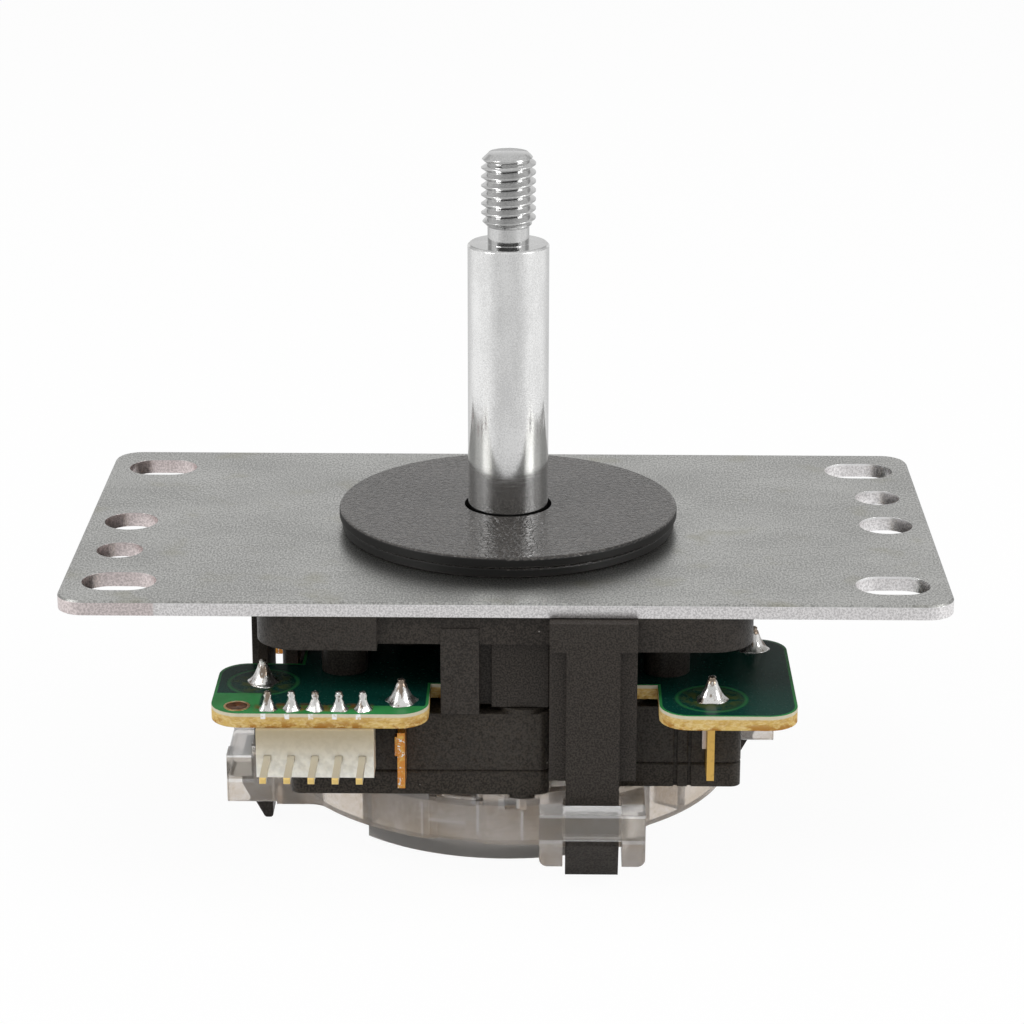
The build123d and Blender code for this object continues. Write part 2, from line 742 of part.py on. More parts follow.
def gate_disc():
    """Round disc with a tab for each loop, run together with fillets."""
    disc = drum(GATE_RADIUS, gate_under, gate_top)
    half = EAR_WIDTH / 2
    tab = block((LEG_CENTRE - half, LEG_CENTRE + half), (-ear_reach, -GATE_BOSS_HALF),
                (gate_under, gate_top))
    for shape in on_all_sides(tab):
        disc += shape
    corners = [edge for edge in disc.edges().filter_by(Axis.Z)
               if abs(math.hypot(edge.center().X, edge.center().Y) - GATE_RADIUS) < SNUG]
    return fillet(corners, EAR_FILLET)


def ear_cuts():
    """Way of the snap leg through the loop of the front side, and the loop's rounded corners."""
    half = EAR_SLOT / 2
    slot = block((LEG_CENTRE - half, LEG_CENTRE + half),
                 (-LEG_OUTER - LEG_SLIDE, -LEG_INNER + LEG_SLIDE), (gate_under, gate_top))
    mouth = block((LEG_CENTRE - half, LEG_CENTRE + half), (-ear_reach, -LEG_INNER),
                  (gate_under, gate_top - EAR_BAR))
    reach = (-ear_reach, -GATE_RADIUS)
    outside = block((LEG_CENTRE - EAR_WIDTH, LEG_CENTRE + EAR_WIDTH), reach,
                    (gate_under - EAR_CORNER, gate_top))
    loop = block((LEG_CENTRE - EAR_WIDTH / 2, LEG_CENTRE + EAR_WIDTH / 2), reach, (gate_under, gate_top))
    corners = loop.edges().filter_by(Axis.Y).group_by(Axis.Z)[0]
    return slot + mouth + (outside - fillet(corners, EAR_CORNER))


def loop_rounding():
    """Rounds the outer upper and lower edges of the loop's bar on the front side."""
    low = gate_top - EAR_BAR
    half = EAR_SLOT / 2
    bar = block((-half, half), (-ear_reach, -LEG_OUTER), (low, gate_top))
    edges = bar.edges().filter_by(Axis.X).group_by(Axis.Y)[0]
    return Pos(LEG_CENTRE, 0, 0) * (bar - fillet(edges, EAR_BAR_ROUND))


def boss_prism(radius, half, low, high):
    """Round boss with a flat on its left and right."""
    round_part = drum(radius, low, high)
    return round_part & block((-half, half), (-radius, radius), (low, high))


def rim_band(left, right, depth, low, high):
    """Piece of the rim on the front side, from its outer face inward."""
    ring = drum(GATE_RADIUS, low, high) - drum(GATE_RADIUS - depth, low, high)
    return ring & block((left, right), (-GATE_RADIUS, 0), (low, high))


def latch_cuts():
    """Slot round the latch tongue, its sunk panel and grip, and the window beside it."""
    top = gate_top - LATCH_DROP
    middle = (LATCH_LEFT + LATCH_RIGHT) / 2
    grip = LATCH_GRIP_WIDTH / 2
    slot = rim_band(LATCH_LEFT, LATCH_RIGHT, GATE_RIM, top, gate_top)
    tongue = rim_band(LATCH_LEFT + LATCH_SLOT, LATCH_RIGHT - LATCH_SLOT, GATE_RIM,
                      top, gate_top - LATCH_SLOT)
    panel = rim_band(LATCH_LEFT, LATCH_RIGHT, LATCH_PANEL_DEPTH, gate_under, top)
    hold = rim_band(middle - grip, middle + grip, 2 * LATCH_PANEL_DEPTH,
                    gate_under, gate_under + LATCH_GRIP_HEIGHT)
    high = gate_top - WINDOW_TOP
    window = rim_band(WINDOW_CENTRE - WINDOW_WIDTH / 2, WINDOW_CENTRE + WINDOW_WIDTH / 2, GATE_RIM / 2,
                      high - WINDOW_HEIGHT, high)
    return (slot - tongue) + panel + hold + window


def gate_ribs():
    """Ribs between boss and rim, under the gate's roof."""
    reach = (-GATE_RADIUS + GATE_RIM / 2, -GATE_BOSS_RADIUS + GATE_WALL)
    rib = block((-GATE_RIB / 2, GATE_RIB / 2), reach, (gate_under, gate_top - GATE_ROOF / 2))
    return [around(rib, angle) for angle in GATE_RIB_ANGLES]


def restrictor_gate():
    gate = gate_disc()
    gate += boss_prism(GATE_BOSS_RADIUS, GATE_BOSS_HALF, boss_under, gate_under)
    hollow = drum(GATE_RADIUS - GATE_RIM, gate_under, gate_top - GATE_ROOF)
    hollow -= boss_prism(GATE_BOSS_RADIUS, GATE_BOSS_HALF, gate_under, gate_top)
    for angle in SIDES.values():
        for rib in gate_ribs():
            hollow -= around(rib, angle)
    gate -= hollow
    gate -= boss_prism(GATE_BOSS_RADIUS - GATE_WALL, GATE_BOSS_HALF - GATE_WALL,
                       boss_under + GATE_FLOOR, gate_top)
    gate -= drum(GATE_FLOOR_BORE / 2, boss_under, gate_top)
    for shape in on_all_sides(ear_cuts()) + on_all_sides(loop_rounding()):
        gate -= shape
    gate -= latch_cuts()
    for angle in SIDES.values():
        for x, y in mount_places():
            pocket = drum(MOUNT_BOSS / 2 + POCKET_CLEARANCE, gate_top - switch_boss, gate_top, x, y)
            gate -= around(pocket, angle)
    return gate


def gate_insert():
    """Loose plate with the square opening that stops the lever."""
    low = insert_top - INSERT_THICKNESS
    radius = GATE_BOSS_RADIUS - GATE_WALL - INSERT_CLEARANCE
    half = GATE_BOSS_HALF - GATE_WALL - INSERT_CLEARANCE
    plate = boss_prism(radius, half, low, insert_top)
    opening = rounded_square(insert_half, ROD / 2, low, insert_top)
    return plate - opening


def build():
    parts = {
        "mounting_plate": mounting_plate(),
        "plate_screws": plate_screws(),
        "lower_dust_washer": washer(UPPER_WASHER - 2 * WASHER_STEP, LOWER_WASHER_BORE, 0),
        "upper_dust_washer": washer(UPPER_WASHER, UPPER_WASHER_BORE, WASHER_THICKNESS),
        "lever_shaft": lever_shaft(),
        "e_clip": e_clip(),
        "pivot_ball": pivot_ball(),
        "pivot_liner": pivot_liner(),
        "spring_seat": spring_seat(),
        "centring_spring": centring_spring(),
        "actuator": actuator(),
        "housing": housing(),
        "circuit_board": circuit_board(),
        "header_body": header_body(),
        "header_pins": header_pins(),
        "solder_joints": solder_joints(),
        "restrictor_gate": restrictor_gate(),
        "gate_insert": gate_insert(),
    }
    for side, angle in SIDES.items():
        parts[f"switch_case_{side}"] = around(switch_case(), angle)
        parts[f"switch_cover_{side}"] = around(switch_cover(), angle)
        parts[f"plunger_{side}"] = around(plunger(), angle)
        parts[f"switch_terminals_{side}"] = around(switch_terminals(), angle)
    return parts


for node, shape in build().items():
    export_step(shape, f"parts/{node}.step")
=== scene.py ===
"""Dresses the arcade joystick: finishes for every solid, the thread, solder, a test pad and the studio."""
from __future__ import annotations

import json
import logging
import math
from dataclasses import dataclass
from enum import Enum

import bmesh
import bpy
from mathutils import Euler, Matrix, Vector

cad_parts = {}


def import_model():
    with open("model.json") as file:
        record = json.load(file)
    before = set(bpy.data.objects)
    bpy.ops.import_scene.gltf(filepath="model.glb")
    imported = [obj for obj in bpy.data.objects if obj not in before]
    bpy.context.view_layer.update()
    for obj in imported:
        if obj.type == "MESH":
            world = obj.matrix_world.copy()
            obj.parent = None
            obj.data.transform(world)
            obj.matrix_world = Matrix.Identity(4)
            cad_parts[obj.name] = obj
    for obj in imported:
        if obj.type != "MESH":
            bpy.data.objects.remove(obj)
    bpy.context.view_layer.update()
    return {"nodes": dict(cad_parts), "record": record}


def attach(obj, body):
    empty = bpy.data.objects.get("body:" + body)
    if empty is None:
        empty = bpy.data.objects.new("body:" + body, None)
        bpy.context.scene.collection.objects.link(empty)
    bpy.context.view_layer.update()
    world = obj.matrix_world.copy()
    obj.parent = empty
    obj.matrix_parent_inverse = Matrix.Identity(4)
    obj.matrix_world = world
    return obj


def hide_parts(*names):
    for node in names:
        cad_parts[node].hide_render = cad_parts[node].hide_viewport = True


LOG = logging.getLogger("joystick")
MM = 0.001
WELD = 1e-7
UP = (0.0, 0.0, 1.0)
Colour = tuple[float, float, float]
Point = tuple[float, float]
Span = tuple[float, float]
Node = bpy.types.Node
Socket = bpy.types.NodeSocket
Materials = dict[str, bpy.types.Material]


class Body(Enum):
    """Moving bodies of the joystick that extra pieces ride on."""

    BASE = "base"
    SHAFT = "shaft"


@dataclass(frozen=True)
class Board:
    """Places on the circuit board that its finish, solder and test pad share, in millimetres."""

    top: float = -10.8
    common_lead: Point = (-10.9, -27.3)
    open_lead: Point = (-26.0, -22.0)
    pin_row: float = -29.6
    pin_first: float = -24.85
    pin_pitch: float = 2.5
    pins: int = 5


BOARD = Board()


def mm(*values: float) -> Vector:
    """Returns a point given in millimetres as a vector in metres."""
    return Vector(values) * MM


def turned(point: Point, turns: int) -> Point:
    """Returns a point turned by quarter turns about the lever's axis."""
    x, y = point
    for _ in range(turns):
        x, y = -y, x
    return x, y


# Shader node helpers


class Sheet:
    """A node tree with short calls for adding and joining nodes."""

    def __init__(self, tree: bpy.types.NodeTree) -> None:
        """Keeps the tree.

        Args:
            tree: node tree of a material, a world or a group.
        """
        self.tree = tree

    def add(self, kind: str, **settings: object) -> Node:
        """Adds one node.

        Args:
            kind: Blender's name of the node type.
            settings: attributes to set on the node.

        Returns:
            The new node.
        """
        node = self.tree.nodes.new(kind)
        for name, value in settings.items():
            setattr(node, name, value)
        return node

    def join(self, source: Socket, target: Socket) -> None:
        """Joins an output socket to an input socket."""
        self.tree.links.new(source, target)

    def feed(self, socket: Socket, value: object) -> None:
        """Feeds a socket from another socket or sets its own value.

        Args:
            socket: input socket to feed.
            value: output socket, number, colour or vector.
        """
        if isinstance(value, Socket):
            self.join(value, socket)
        elif socket.type == "RGBA" and len(value) == 3:
            socket.default_value = (*value, 1.0)
        else:
            socket.default_value = value

    def maths(self, operation: str, *values: object, clamp: bool = False) -> Socket:
        """Adds a Math node.

        Args:
            operation: name of the operation.
            values: sockets or numbers for its inputs.
            clamp: whether the result is kept between 0 and 1.

        Returns:
            The result's socket.
        """
        node = self.add("ShaderNodeMath", operation=operation, use_clamp=clamp)
        for socket, value in zip(node.inputs, values):
            self.feed(socket, value)
        return node.outputs[0]

    def plus(self, first: object, second: object) -> Socket:
        """Returns the sum of two values."""
        return self.maths("ADD", first, second)

    def minus(self, first: object, second: object) -> Socket:
        """Returns the first value less the second."""
        return self.maths("SUBTRACT", first, second)

    def times(self, first: object, second: object) -> Socket:
        """Returns the product of two values."""
        return self.maths("MULTIPLY", first, second)

    def distance(self, first: object, second: object) -> Socket:
        """Returns how far two values lie apart."""
        return self.maths("ABSOLUTE", self.minus(first, second))

    def largest(self, first: object, second: object) -> Socket:
        """Returns the larger of two values."""
        return self.maths("MAXIMUM", first, second)

    def blend(self, first: Socket, share: float, second: Socket) -> Socket:
        """Returns a share of the first value plus the rest of the second."""
        return self.plus(self.times(first, share), self.times(second, 1 - share))

    def vector_maths(self, operation: str, *values: object) -> Socket:
        """Adds a Vector Math node.

        Args:
            operation: name of the operation.
            values: sockets or vectors for its inputs.

        Returns:
            The result's socket, a number for a length, a distance or a dot product.
        """
        node = self.add("ShaderNodeVectorMath", operation=operation)
        for socket, value in zip(node.inputs, values):
            self.feed(socket, value)
        return node.outputs["Value" if operation in ("LENGTH", "DISTANCE", "DOT_PRODUCT") else "Vector"]

    def scaled(self, vector: object, factor: object) -> Socket:
        """Returns a vector or a colour times a number."""
        node = self.add("ShaderNodeVectorMath", operation="SCALE")
        self.feed(node.inputs["Vector"], vector)
        self.feed(node.inputs["Scale"], factor)
        return node.outputs["Vector"]

    def split(self, vector: Socket) -> tuple[Socket, ...]:
        """Returns the X, Y and Z of a vector."""
        node = self.add("ShaderNodeSeparateXYZ")
        self.join(vector, node.inputs[0])
        return tuple(node.outputs)

    def mix(self, share: object, low: object, high: object) -> Socket:
        """Mixes two colours.

        Args:
            share: share of the second colour, a socket or a number.
            low: colour at 0.
            high: colour at 1.

        Returns:
            The mixed colour's socket.
        """
        node = self.add("ShaderNodeMix", data_type="RGBA")
        self.feed(node.inputs["Factor"], share)
        self.feed(node.inputs[6], low)
        self.feed(node.inputs[7], high)
        return node.outputs[2]

    def ramp(self, value: object, low: float, high: float,
             out_low: float = 0.0, out_high: float = 1.0) -> Socket:
        """Maps a range of values to another, smoothly and clamped.

        Args:
            value: socket to map.
            low: value that gives out_low.
            high: value that gives out_high.
            out_low: result at the low end.
            out_high: result at the high end.

        Returns:
            The result's socket.
        """
        node = self.add("ShaderNodeMapRange", interpolation_type="SMOOTHSTEP")
        for socket, number in zip(node.inputs, (value, low, high, out_low, out_high)):
            self.feed(socket, number)
        return node.outputs[0]

    def step(self, value: object, edge: float, soft: float,
             out_low: float = 0.0, out_high: float = 1.0) -> Socket:
        """Steps from one result to another at an edge.

        Args:
            value: socket to look at.
            edge: value where the step lies.
            soft: half its width, negative for a step that falls.
            out_low: result before the step.
            out_high: result behind it.

        Returns:
            The result's socket.
        """
        return self.ramp(value, edge - soft, edge + soft, out_low, out_high)

    def place(self) -> Socket:
        """Returns the position on the object, in metres."""
        return self.add("ShaderNodeTexCoord").outputs["Object"]

    def stretched(self, *scale: float) -> Socket:
        """Returns the position on the object, scaled along its axes."""
        node = self.add("ShaderNodeMapping")
        self.join(self.place(), node.inputs["Vector"])
        node.inputs["Scale"].default_value = scale
        return node.outputs[0]

    def noise(self, vector: object, scale: object, detail: float = 3.0, roughness: float = 0.55) -> Socket:
        """Adds a noise texture and returns its value."""
        node = self.add("ShaderNodeTexNoise")
        self.feed(node.inputs["Vector"], vector)
        self.feed(node.inputs["Scale"], scale)
        node.inputs["Detail"].default_value = detail
        node.inputs["Roughness"].default_value = roughness
        return node.outputs[0]

    def cells(self, vector: Socket, scale: Socket, feature: str = "F1") -> Node:
        """Adds a cell texture and returns its node."""
        node = self.add("ShaderNodeTexVoronoi", feature=feature)
        self.join(vector, node.inputs["Vector"])
        self.join(scale, node.inputs["Scale"])
        return node

    def toward_front(self, direction: Socket) -> Socket:
        """Returns how far a direction points to the front: 1 at the front, 0 at the sides, -1 behind."""
        level = self.vector_maths("MULTIPLY", direction, (1.0, 1.0, 0.0))
        return self.vector_maths("DOT_PRODUCT", self.vector_maths("NORMALIZE", level), (0.0, -1.0, 0.0))


@dataclass(frozen=True)
class Effect:
    """A shader node group: its name, its inputs with their defaults, and its outputs."""

    name: str
    inputs: tuple[tuple[str, float], ...]
    outputs: tuple[str, ...]

    def start(self) -> tuple[Sheet, Node, Node]:
        """Makes the empty group.

        Returns:
            The group's sheet, its input node and its output node.
        """
        tree = bpy.data.node_groups.new(self.name, "ShaderNodeTree")
        for name, default in self.inputs:
            socket = tree.interface.new_socket(name, in_out="INPUT", socket_type="NodeSocketFloat")
            socket.default_value = default
        for name in self.outputs:
            tree.interface.new_socket(name, in_out="OUTPUT", socket_type="NodeSocketFloat")
        sheet = Sheet(tree)
        return sheet, sheet.add("NodeGroupInput"), sheet.add("NodeGroupOutput")


GRAIN = Effect("moulded_grain", (("Scale", 3000.0),), ("Height", "Shade"))
BRUSH = Effect("brushed_lines", (("Along", 60.0), ("Across", 5000.0)), ("Height", "Shade"))
SPECKS = Effect("dust_specks", (("Scale", 900.0), ("Share", 0.06)), ("Mask",))
WEAR = Effect("edge_wear", (("Start", 0.53), ("End", 0.62)), ("Mask",))
CREASES = Effect("creased_skin", (("Scale", 700.0),), ("Height", "Shade"))


def build_grain() -> None:
    """Fine moulded grain: a close noise with a slow change of shade over it."""
    slow_scale, slow_share = 90.0, 0.1
    sheet, source, result = GRAIN.start()
    place, scale = sheet.place(), source.outputs["Scale"]
    sheet.join(sheet.noise(place, scale, 2.0), result.inputs["Height"])
    slow = sheet.noise(place, slow_scale)
    sheet.join(sheet.blend(slow, slow_share, sheet.noise(place, scale, 1.0)), result.inputs["Shade"])


def build_brush() -> None:
    """Lines along X, as rolled and brushed metal has."""
    cloud_scale, fine_scale = 45.0, 4200.0
    line_share, cloud_share, fine_share = 0.35, 0.35, 0.3
    sheet, source, result = BRUSH.start()
    scale = sheet.add("ShaderNodeCombineXYZ")
    for name, socket in zip(("Along", "Across", "Across"), scale.inputs):
        sheet.join(source.outputs[name], socket)
    lines = sheet.noise(sheet.vector_maths("MULTIPLY", sheet.place(), scale.outputs[0]), 1.0, 4.0, 0.6)
    sheet.join(lines, result.inputs["Height"])
    cloud = sheet.noise(sheet.place(), cloud_scale, 4.0)
    fine = sheet.noise(sheet.place(), fine_scale, 2.0)
    both = sheet.plus(sheet.times(lines, line_share), sheet.times(cloud, cloud_share))
    sheet.join(sheet.plus(both, sheet.times(fine, fine_share)), result.inputs["Shade"])


def build_specks() -> None:
    """Scattered small round specks."""
    rim, heart = 0.16, 0.08
    sheet, source, result = SPECKS.start()
    cells = sheet.cells(sheet.place(), source.outputs["Scale"])
    near = sheet.ramp(cells.outputs["Distance"], rim, heart)
    pick = sheet.add("ShaderNodeSeparateColor")
    sheet.join(cells.outputs["Color"], pick.inputs[0])
    chosen = sheet.maths("LESS_THAN", pick.outputs[0], source.outputs["Share"])
    sheet.join(sheet.times(near, chosen), result.inputs["Mask"])


def build_wear() -> None:
    """Mask of the convex edges."""
    broken_scale = 1500.0
    sheet, source, result = WEAR.start()
    node = sheet.add("ShaderNodeMapRange")
    sheet.join(sheet.add("ShaderNodeNewGeometry").outputs["Pointiness"], node.inputs["Value"])
    sheet.join(source.outputs["Start"], node.inputs["From Min"])
    sheet.join(source.outputs["End"], node.inputs["From Max"])
    broken = sheet.ramp(sheet.noise(sheet.place(), broken_scale), 0.3, 0.6)
    sheet.join(sheet.maths("MULTIPLY", node.outputs[0], broken, clamp=True), result.inputs["Mask"])


def build_creases() -> None:
    """Flat grains with thin creases between them, as on pressed sheet plastic."""
    shift_scale, shift_reach = 900.0, 0.0009
    crease_width, fine_scale, fine_share = 0.14, 3500.0, 0.5
    sheet, source, result = CREASES.start()
    place = sheet.place()
    shift = sheet.add("ShaderNodeTexNoise")
    sheet.join(place, shift.inputs["Vector"])
    shift.inputs["Scale"].default_value = shift_scale
    bent = sheet.vector_maths("ADD", place, sheet.scaled(shift.outputs["Color"], shift_reach))
    cells = sheet.cells(bent, source.outputs["Scale"], "DISTANCE_TO_EDGE")
    flat = sheet.ramp(cells.outputs["Distance"], 0.0, crease_width)
    fine = sheet.noise(place, fine_scale, 2.0)
    sheet.join(sheet.plus(flat, sheet.times(fine, fine_share)), result.inputs["Height"])
    sheet.join(flat, result.inputs["Shade"])


class Skin(Sheet):
    """A new material's sheet, with the calls that the finishes share."""

    def __init__(self, name: str) -> None:
        """Makes the material.

        Args:
            name: name of the material.
        """
        self.material = bpy.data.materials.new(name)
        self.material.use_nodes = True
        super().__init__(self.material.node_tree)
        self.shader = self.tree.nodes["Principled BSDF"]

    def give(self, name: str, value: object) -> None:
        """Feeds one of the shader's inputs.

        Args:
            name: name of the input.
            value: output socket, number, colour or vector.
        """
        self.feed(self.shader.inputs[name], value)

    def effect(self, effect: Effect, **values: float) -> tuple[Socket, ...]:
        """Places a shared effect in the material.

        Args:
            effect: the shared effect.
            values: its inputs, by name.

        Returns:
            The group's output sockets.
        """
        node = self.add("ShaderNodeGroup", node_tree=bpy.data.node_groups[effect.name])
        for name, value in values.items():
            node.inputs[name].default_value = value
        return tuple(node.outputs)

    def facing(self) -> tuple[Socket, ...]:
        """Returns the X, Y and Z of the direction that the flat face looks in."""
        return self.split(self.add("ShaderNodeNewGeometry").outputs["True Normal"])

    def upright(self) -> Socket:
        """Returns a mask of the upright faces."""
        return self.maths("LESS_THAN", self.maths("ABSOLUTE", self.facing()[2]), 0.5)

    def axes(self) -> tuple[Socket, ...]:
        """Returns the X, Y and Z of the place on the object, in millimetres."""
        return self.split(self.vector_maths("MULTIPLY", self.place(), (1 / MM,) * 3))


@dataclass(frozen=True)
class Finish:
    """Common ground of the finishes: a name, a colour and how rough the surface is."""

    name: str
    colour: Colour
    roughness: float = 0.4
    round_edge: float = 0.12

    def make(self) -> bpy.types.Material:
        """Makes the material.

        Returns:
            The new material, dressed by the finish's own nodes.
        """
        skin = Skin(self.name)
        skin.give("Base Color", self.colour)
        skin.give("Roughness", self.roughness)
        self.dress(skin)
        return skin.material

    def dress(self, skin: Skin) -> None:
        """Adds the finish's own nodes around the shader."""

    def shade(self, factor: float) -> Colour:
        """Returns the finish's colour times a factor."""
        return tuple(part * factor for part in self.colour)

    def vary(self, skin: Skin, value: Socket, at_low: float, at_high: float, span: Span = (0.3, 0.7)) -> None:
        """Varies the roughness with a value.

        Args:
            skin: the material's skin.
            value: socket that the roughness follows.
            at_low: what is added to the roughness at the low end.
            at_high: what is added at the high end.
            span: the values at the two ends.
        """
        skin.give("Roughness", skin.ramp(value, *span, self.roughness + at_low, self.roughness + at_high))

    def bump(self, skin: Skin, height: Socket, strength: float, distance: float) -> None:
        """Feeds a height into the shader's normal, over softly rounded edges.

        Args:
            skin: the material's skin.
            height: socket of the height.
            strength: strength of the bump.
            distance: its depth in metres.
        """
        node = skin.add("ShaderNodeBump")
        node.inputs["Strength"].default_value = strength
        node.inputs["Distance"].default_value = distance
        skin.join(height, node.inputs["Height"])
        edge = skin.add("ShaderNodeBevel", samples=6)
        edge.inputs["Radius"].default_value = self.round_edge * MM
        skin.join(edge.outputs[0], node.inputs["Normal"])
        skin.give("Normal", node.outputs[0])


@dataclass(frozen=True)
class Steel(Finish):
    """Drawn steel wire and turned steel, with a slow cloudiness and brighter edges."""

    bright: Colour = (0.8, 0.8, 0.79)
    along: float = 60.0
    across: float = 5000.0
    lines: float = 0.25
    cloud: Span = (0.82, 1.12)

    def dress(self, skin: Skin) -> None:
        """Adds brushed lines, cloudiness and bright edges."""
        skin.give("Metallic", 1.0)
        height, shade = skin.effect(BRUSH, Along=self.along, Across=self.across)
        dull = skin.scaled(self.colour, skin.ramp(shade, 0.3, 0.7, *self.cloud))
        skin.give("Base Color", skin.mix(skin.effect(WEAR)[0], dull, self.bright))
        self.vary(skin, shade, 0.06, -0.06)
        self.bump(skin, height, self.lines, 0.00002)


@dataclass(frozen=True)
class PlateSteel(Finish):
    """Plated sheet steel: fine even grain, slow clouds, yellowish tints, bright sheared edges and a painted
    highlight along their top.
    """

    fine_scale: float = 5200.0
    fine_share: float = 0.75
    cloud_scale: float = 60.0
    contrast: Span = (0.68, 1.32)
    tint: Colour = (0.33, 0.32, 0.24)
    tint_scale: float = 130.0
    edge: Colour = (0.88, 0.86, 0.86)
    edge_scale: float = 4600.0
    edge_contrast: Span = (0.76, 1.12)
    torn: Colour = (0.74, 0.66, 0.65)
    torn_to: float = -37.0
    # painted highlight: white band along the top of the upright edges, between these two heights
    line: Colour = (1.0, 1.0, 1.0)
    painted_highlight_levels: Span = (-0.30, -0.16)

    def dress(self, skin: Skin) -> None:
        """Adds the grain, the clouds, the sheared edges and the painted highlight along their top."""
        skin.give("Metallic", 1.0)
        fine = skin.noise(skin.stretched(1.0, 0.5, 1.0), self.fine_scale, 1.0)
        cloud = skin.noise(skin.stretched(1.0, 1.7, 1.0), self.cloud_scale, 4.0, 0.6)
        both = skin.blend(fine, self.fine_share, cloud)
        face = skin.scaled(self.colour, skin.ramp(both, 0.34, 0.66, *self.contrast))
        spots = skin.ramp(skin.noise(skin.place(), self.tint_scale), 0.56, 0.72, 0.0, 0.45)
        top = skin.mix(spots, face, self.tint)
        x, _, height = skin.axes()
        torn = skin.step(x, self.torn_to, -0.15)
        rough = skin.noise(skin.place(), self.edge_scale, 2.0)
        tone = skin.scaled(skin.mix(torn, self.edge, self.torn),
                           skin.ramp(rough, 0.36, 0.64, *self.edge_contrast))
        # painted highlight: the top of each upright edge is mixed toward white, less on the torn edge
        lit = skin.times(skin.ramp(height, *self.painted_highlight_levels), skin.minus(0.9, skin.times(torn, 0.8)))
        skin.give("Base Color", skin.mix(skin.upright(), top, skin.mix(lit, tone, self.line)))
        self.vary(skin, both, 0.05, -0.05)
        self.bump(skin, fine, 0.12, 0.00001)


@dataclass(frozen=True)
class Chrome(Finish):
    """Bright plating with faint drawn lines and pits, with painted shade on the shoulder's top and the stud.
    """

    pits: float = 0.10
    pit_scale: float = 2600.0
    haze_scale: float = 6500.0
    haze_share: float = 0.6
    cloud_scale: float = 420.0
    contrast: Span = (0.88, 1.1)
    # painted shade: from this height up, over the shoulder's top face and the stud, the plating colour is
    # darkened
    stud_from: float = 32.4
    stud_painted_shade: float = 0.74

    def dress(self, skin: Skin) -> None:
        """Adds fine lines round the axis, scattered pits and the painted shade on the shoulder's top and the
        stud.
        """
        skin.give("Metallic", 1.0)
        lines = skin.noise(skin.stretched(400.0, 400.0, 5200.0), 1.0, 2.0)
        haze = skin.noise(skin.place(), self.haze_scale, 1.0)
        cloud = skin.noise(skin.stretched(1.0, 1.0, 0.35), self.cloud_scale)
        pits = skin.effect(SPECKS, Scale=self.pit_scale, Share=self.pits)[0]
        tone = skin.ramp(skin.blend(haze, self.haze_share, cloud), 0.36, 0.62, *self.contrast)
        # painted shade on the shoulder's top and the stud
        stud = skin.step(skin.axes()[2], self.stud_from, 0.05, 1.0, self.stud_painted_shade)
        plated = skin.scaled(self.colour, skin.times(tone, stud))
        skin.give("Base Color", skin.mix(skin.times(pits, 0.8), plated, self.shade(0.5)))
        self.vary(skin, lines, 0.0, 0.06)
        self.bump(skin, haze, 0.06, 0.00001)


@dataclass(frozen=True)
class Moulding(Finish):
    """Moulded plastic with fine grain, paler worn edges and a little dust."""

    edge: Colour = (0.07, 0.065, 0.06)
    edge_share: float = 0.25
    dust: Colour = (0.5, 0.47, 0.44)
    dust_scale: float = 1100.0
    dust_share: float = 0.02
    grain: float = 5200.0
    contrast: Span = (0.6, 1.5)
    shine: float = 0.2

    def dress(self, skin: Skin) -> None:
        """Adds grain, paler edges and dust specks."""
        skin.give("Specular IOR Level", self.shine)
        height, shade = skin.effect(GRAIN, Scale=self.grain)
        wear = skin.effect(WEAR, Start=0.52, End=0.66)[0]
        dust = skin.effect(SPECKS, Scale=self.dust_scale, Share=self.dust_share)[0]
        base = skin.mix(skin.ramp(shade, 0.35, 0.65), *(self.shade(factor) for factor in self.contrast))
        worn = skin.mix(skin.times(wear, self.edge_share), base, self.edge)
        skin.give("Base Color", skin.mix(skin.times(dust, 0.6), worn, self.dust))
        self.vary(skin, shade, 0.1, -0.1, (0.35, 0.65))
        self.bump(skin, height, 0.7, 0.00002)


@dataclass(frozen=True)
class Washer(Finish):
    """Shiny black sheet plastic with a creased skin, painted shade in the creases and painted shade on the
    cut side.
    """

    shine: float = 0.32
    low: float = 0.45
    crease_scale: float = 1250.0
    mottle_scale: float = 2600.0
    speck: Colour = (0.24, 0.23, 0.22)
    speck_scale: float = 1700.0
    speck_share: float = 0.08
    # painted shade: colour of the upright rim, darker than the plastic itself
    side: Colour = (0.006, 0.0055, 0.005)
    side_rougher: float = 0.3

    def dress(self, skin: Skin) -> None:
        """Adds the creased skin with painted shade in its creases, its specks and the painted shade on the
        side.
        """
        skin.give("Specular IOR Level", self.shine)
        height, shade = skin.effect(CREASES, Scale=self.crease_scale)
        specks = skin.effect(SPECKS, Scale=self.speck_scale, Share=self.speck_share)[0]
        low = self.shade(self.low)
        mottle = skin.noise(skin.place(), self.mottle_scale, 2.0)
        # painted shade: the creases take the darker low colour
        base = skin.mix(skin.ramp(mottle, 0.42, 0.58, 0.0, 0.8), skin.mix(shade, low, self.colour), low)
        face = skin.mix(skin.times(specks, 0.5), base, self.speck)
        # painted shade: the upright rim takes the side colour
        side = skin.upright()
        skin.give("Base Color", skin.mix(side, face, self.side))
        skin.give("Roughness", skin.plus(skin.times(side, self.side_rougher), self.roughness))
        self.bump(skin, skin.times(height, skin.minus(1.0, side)), 0.5, 0.00009)


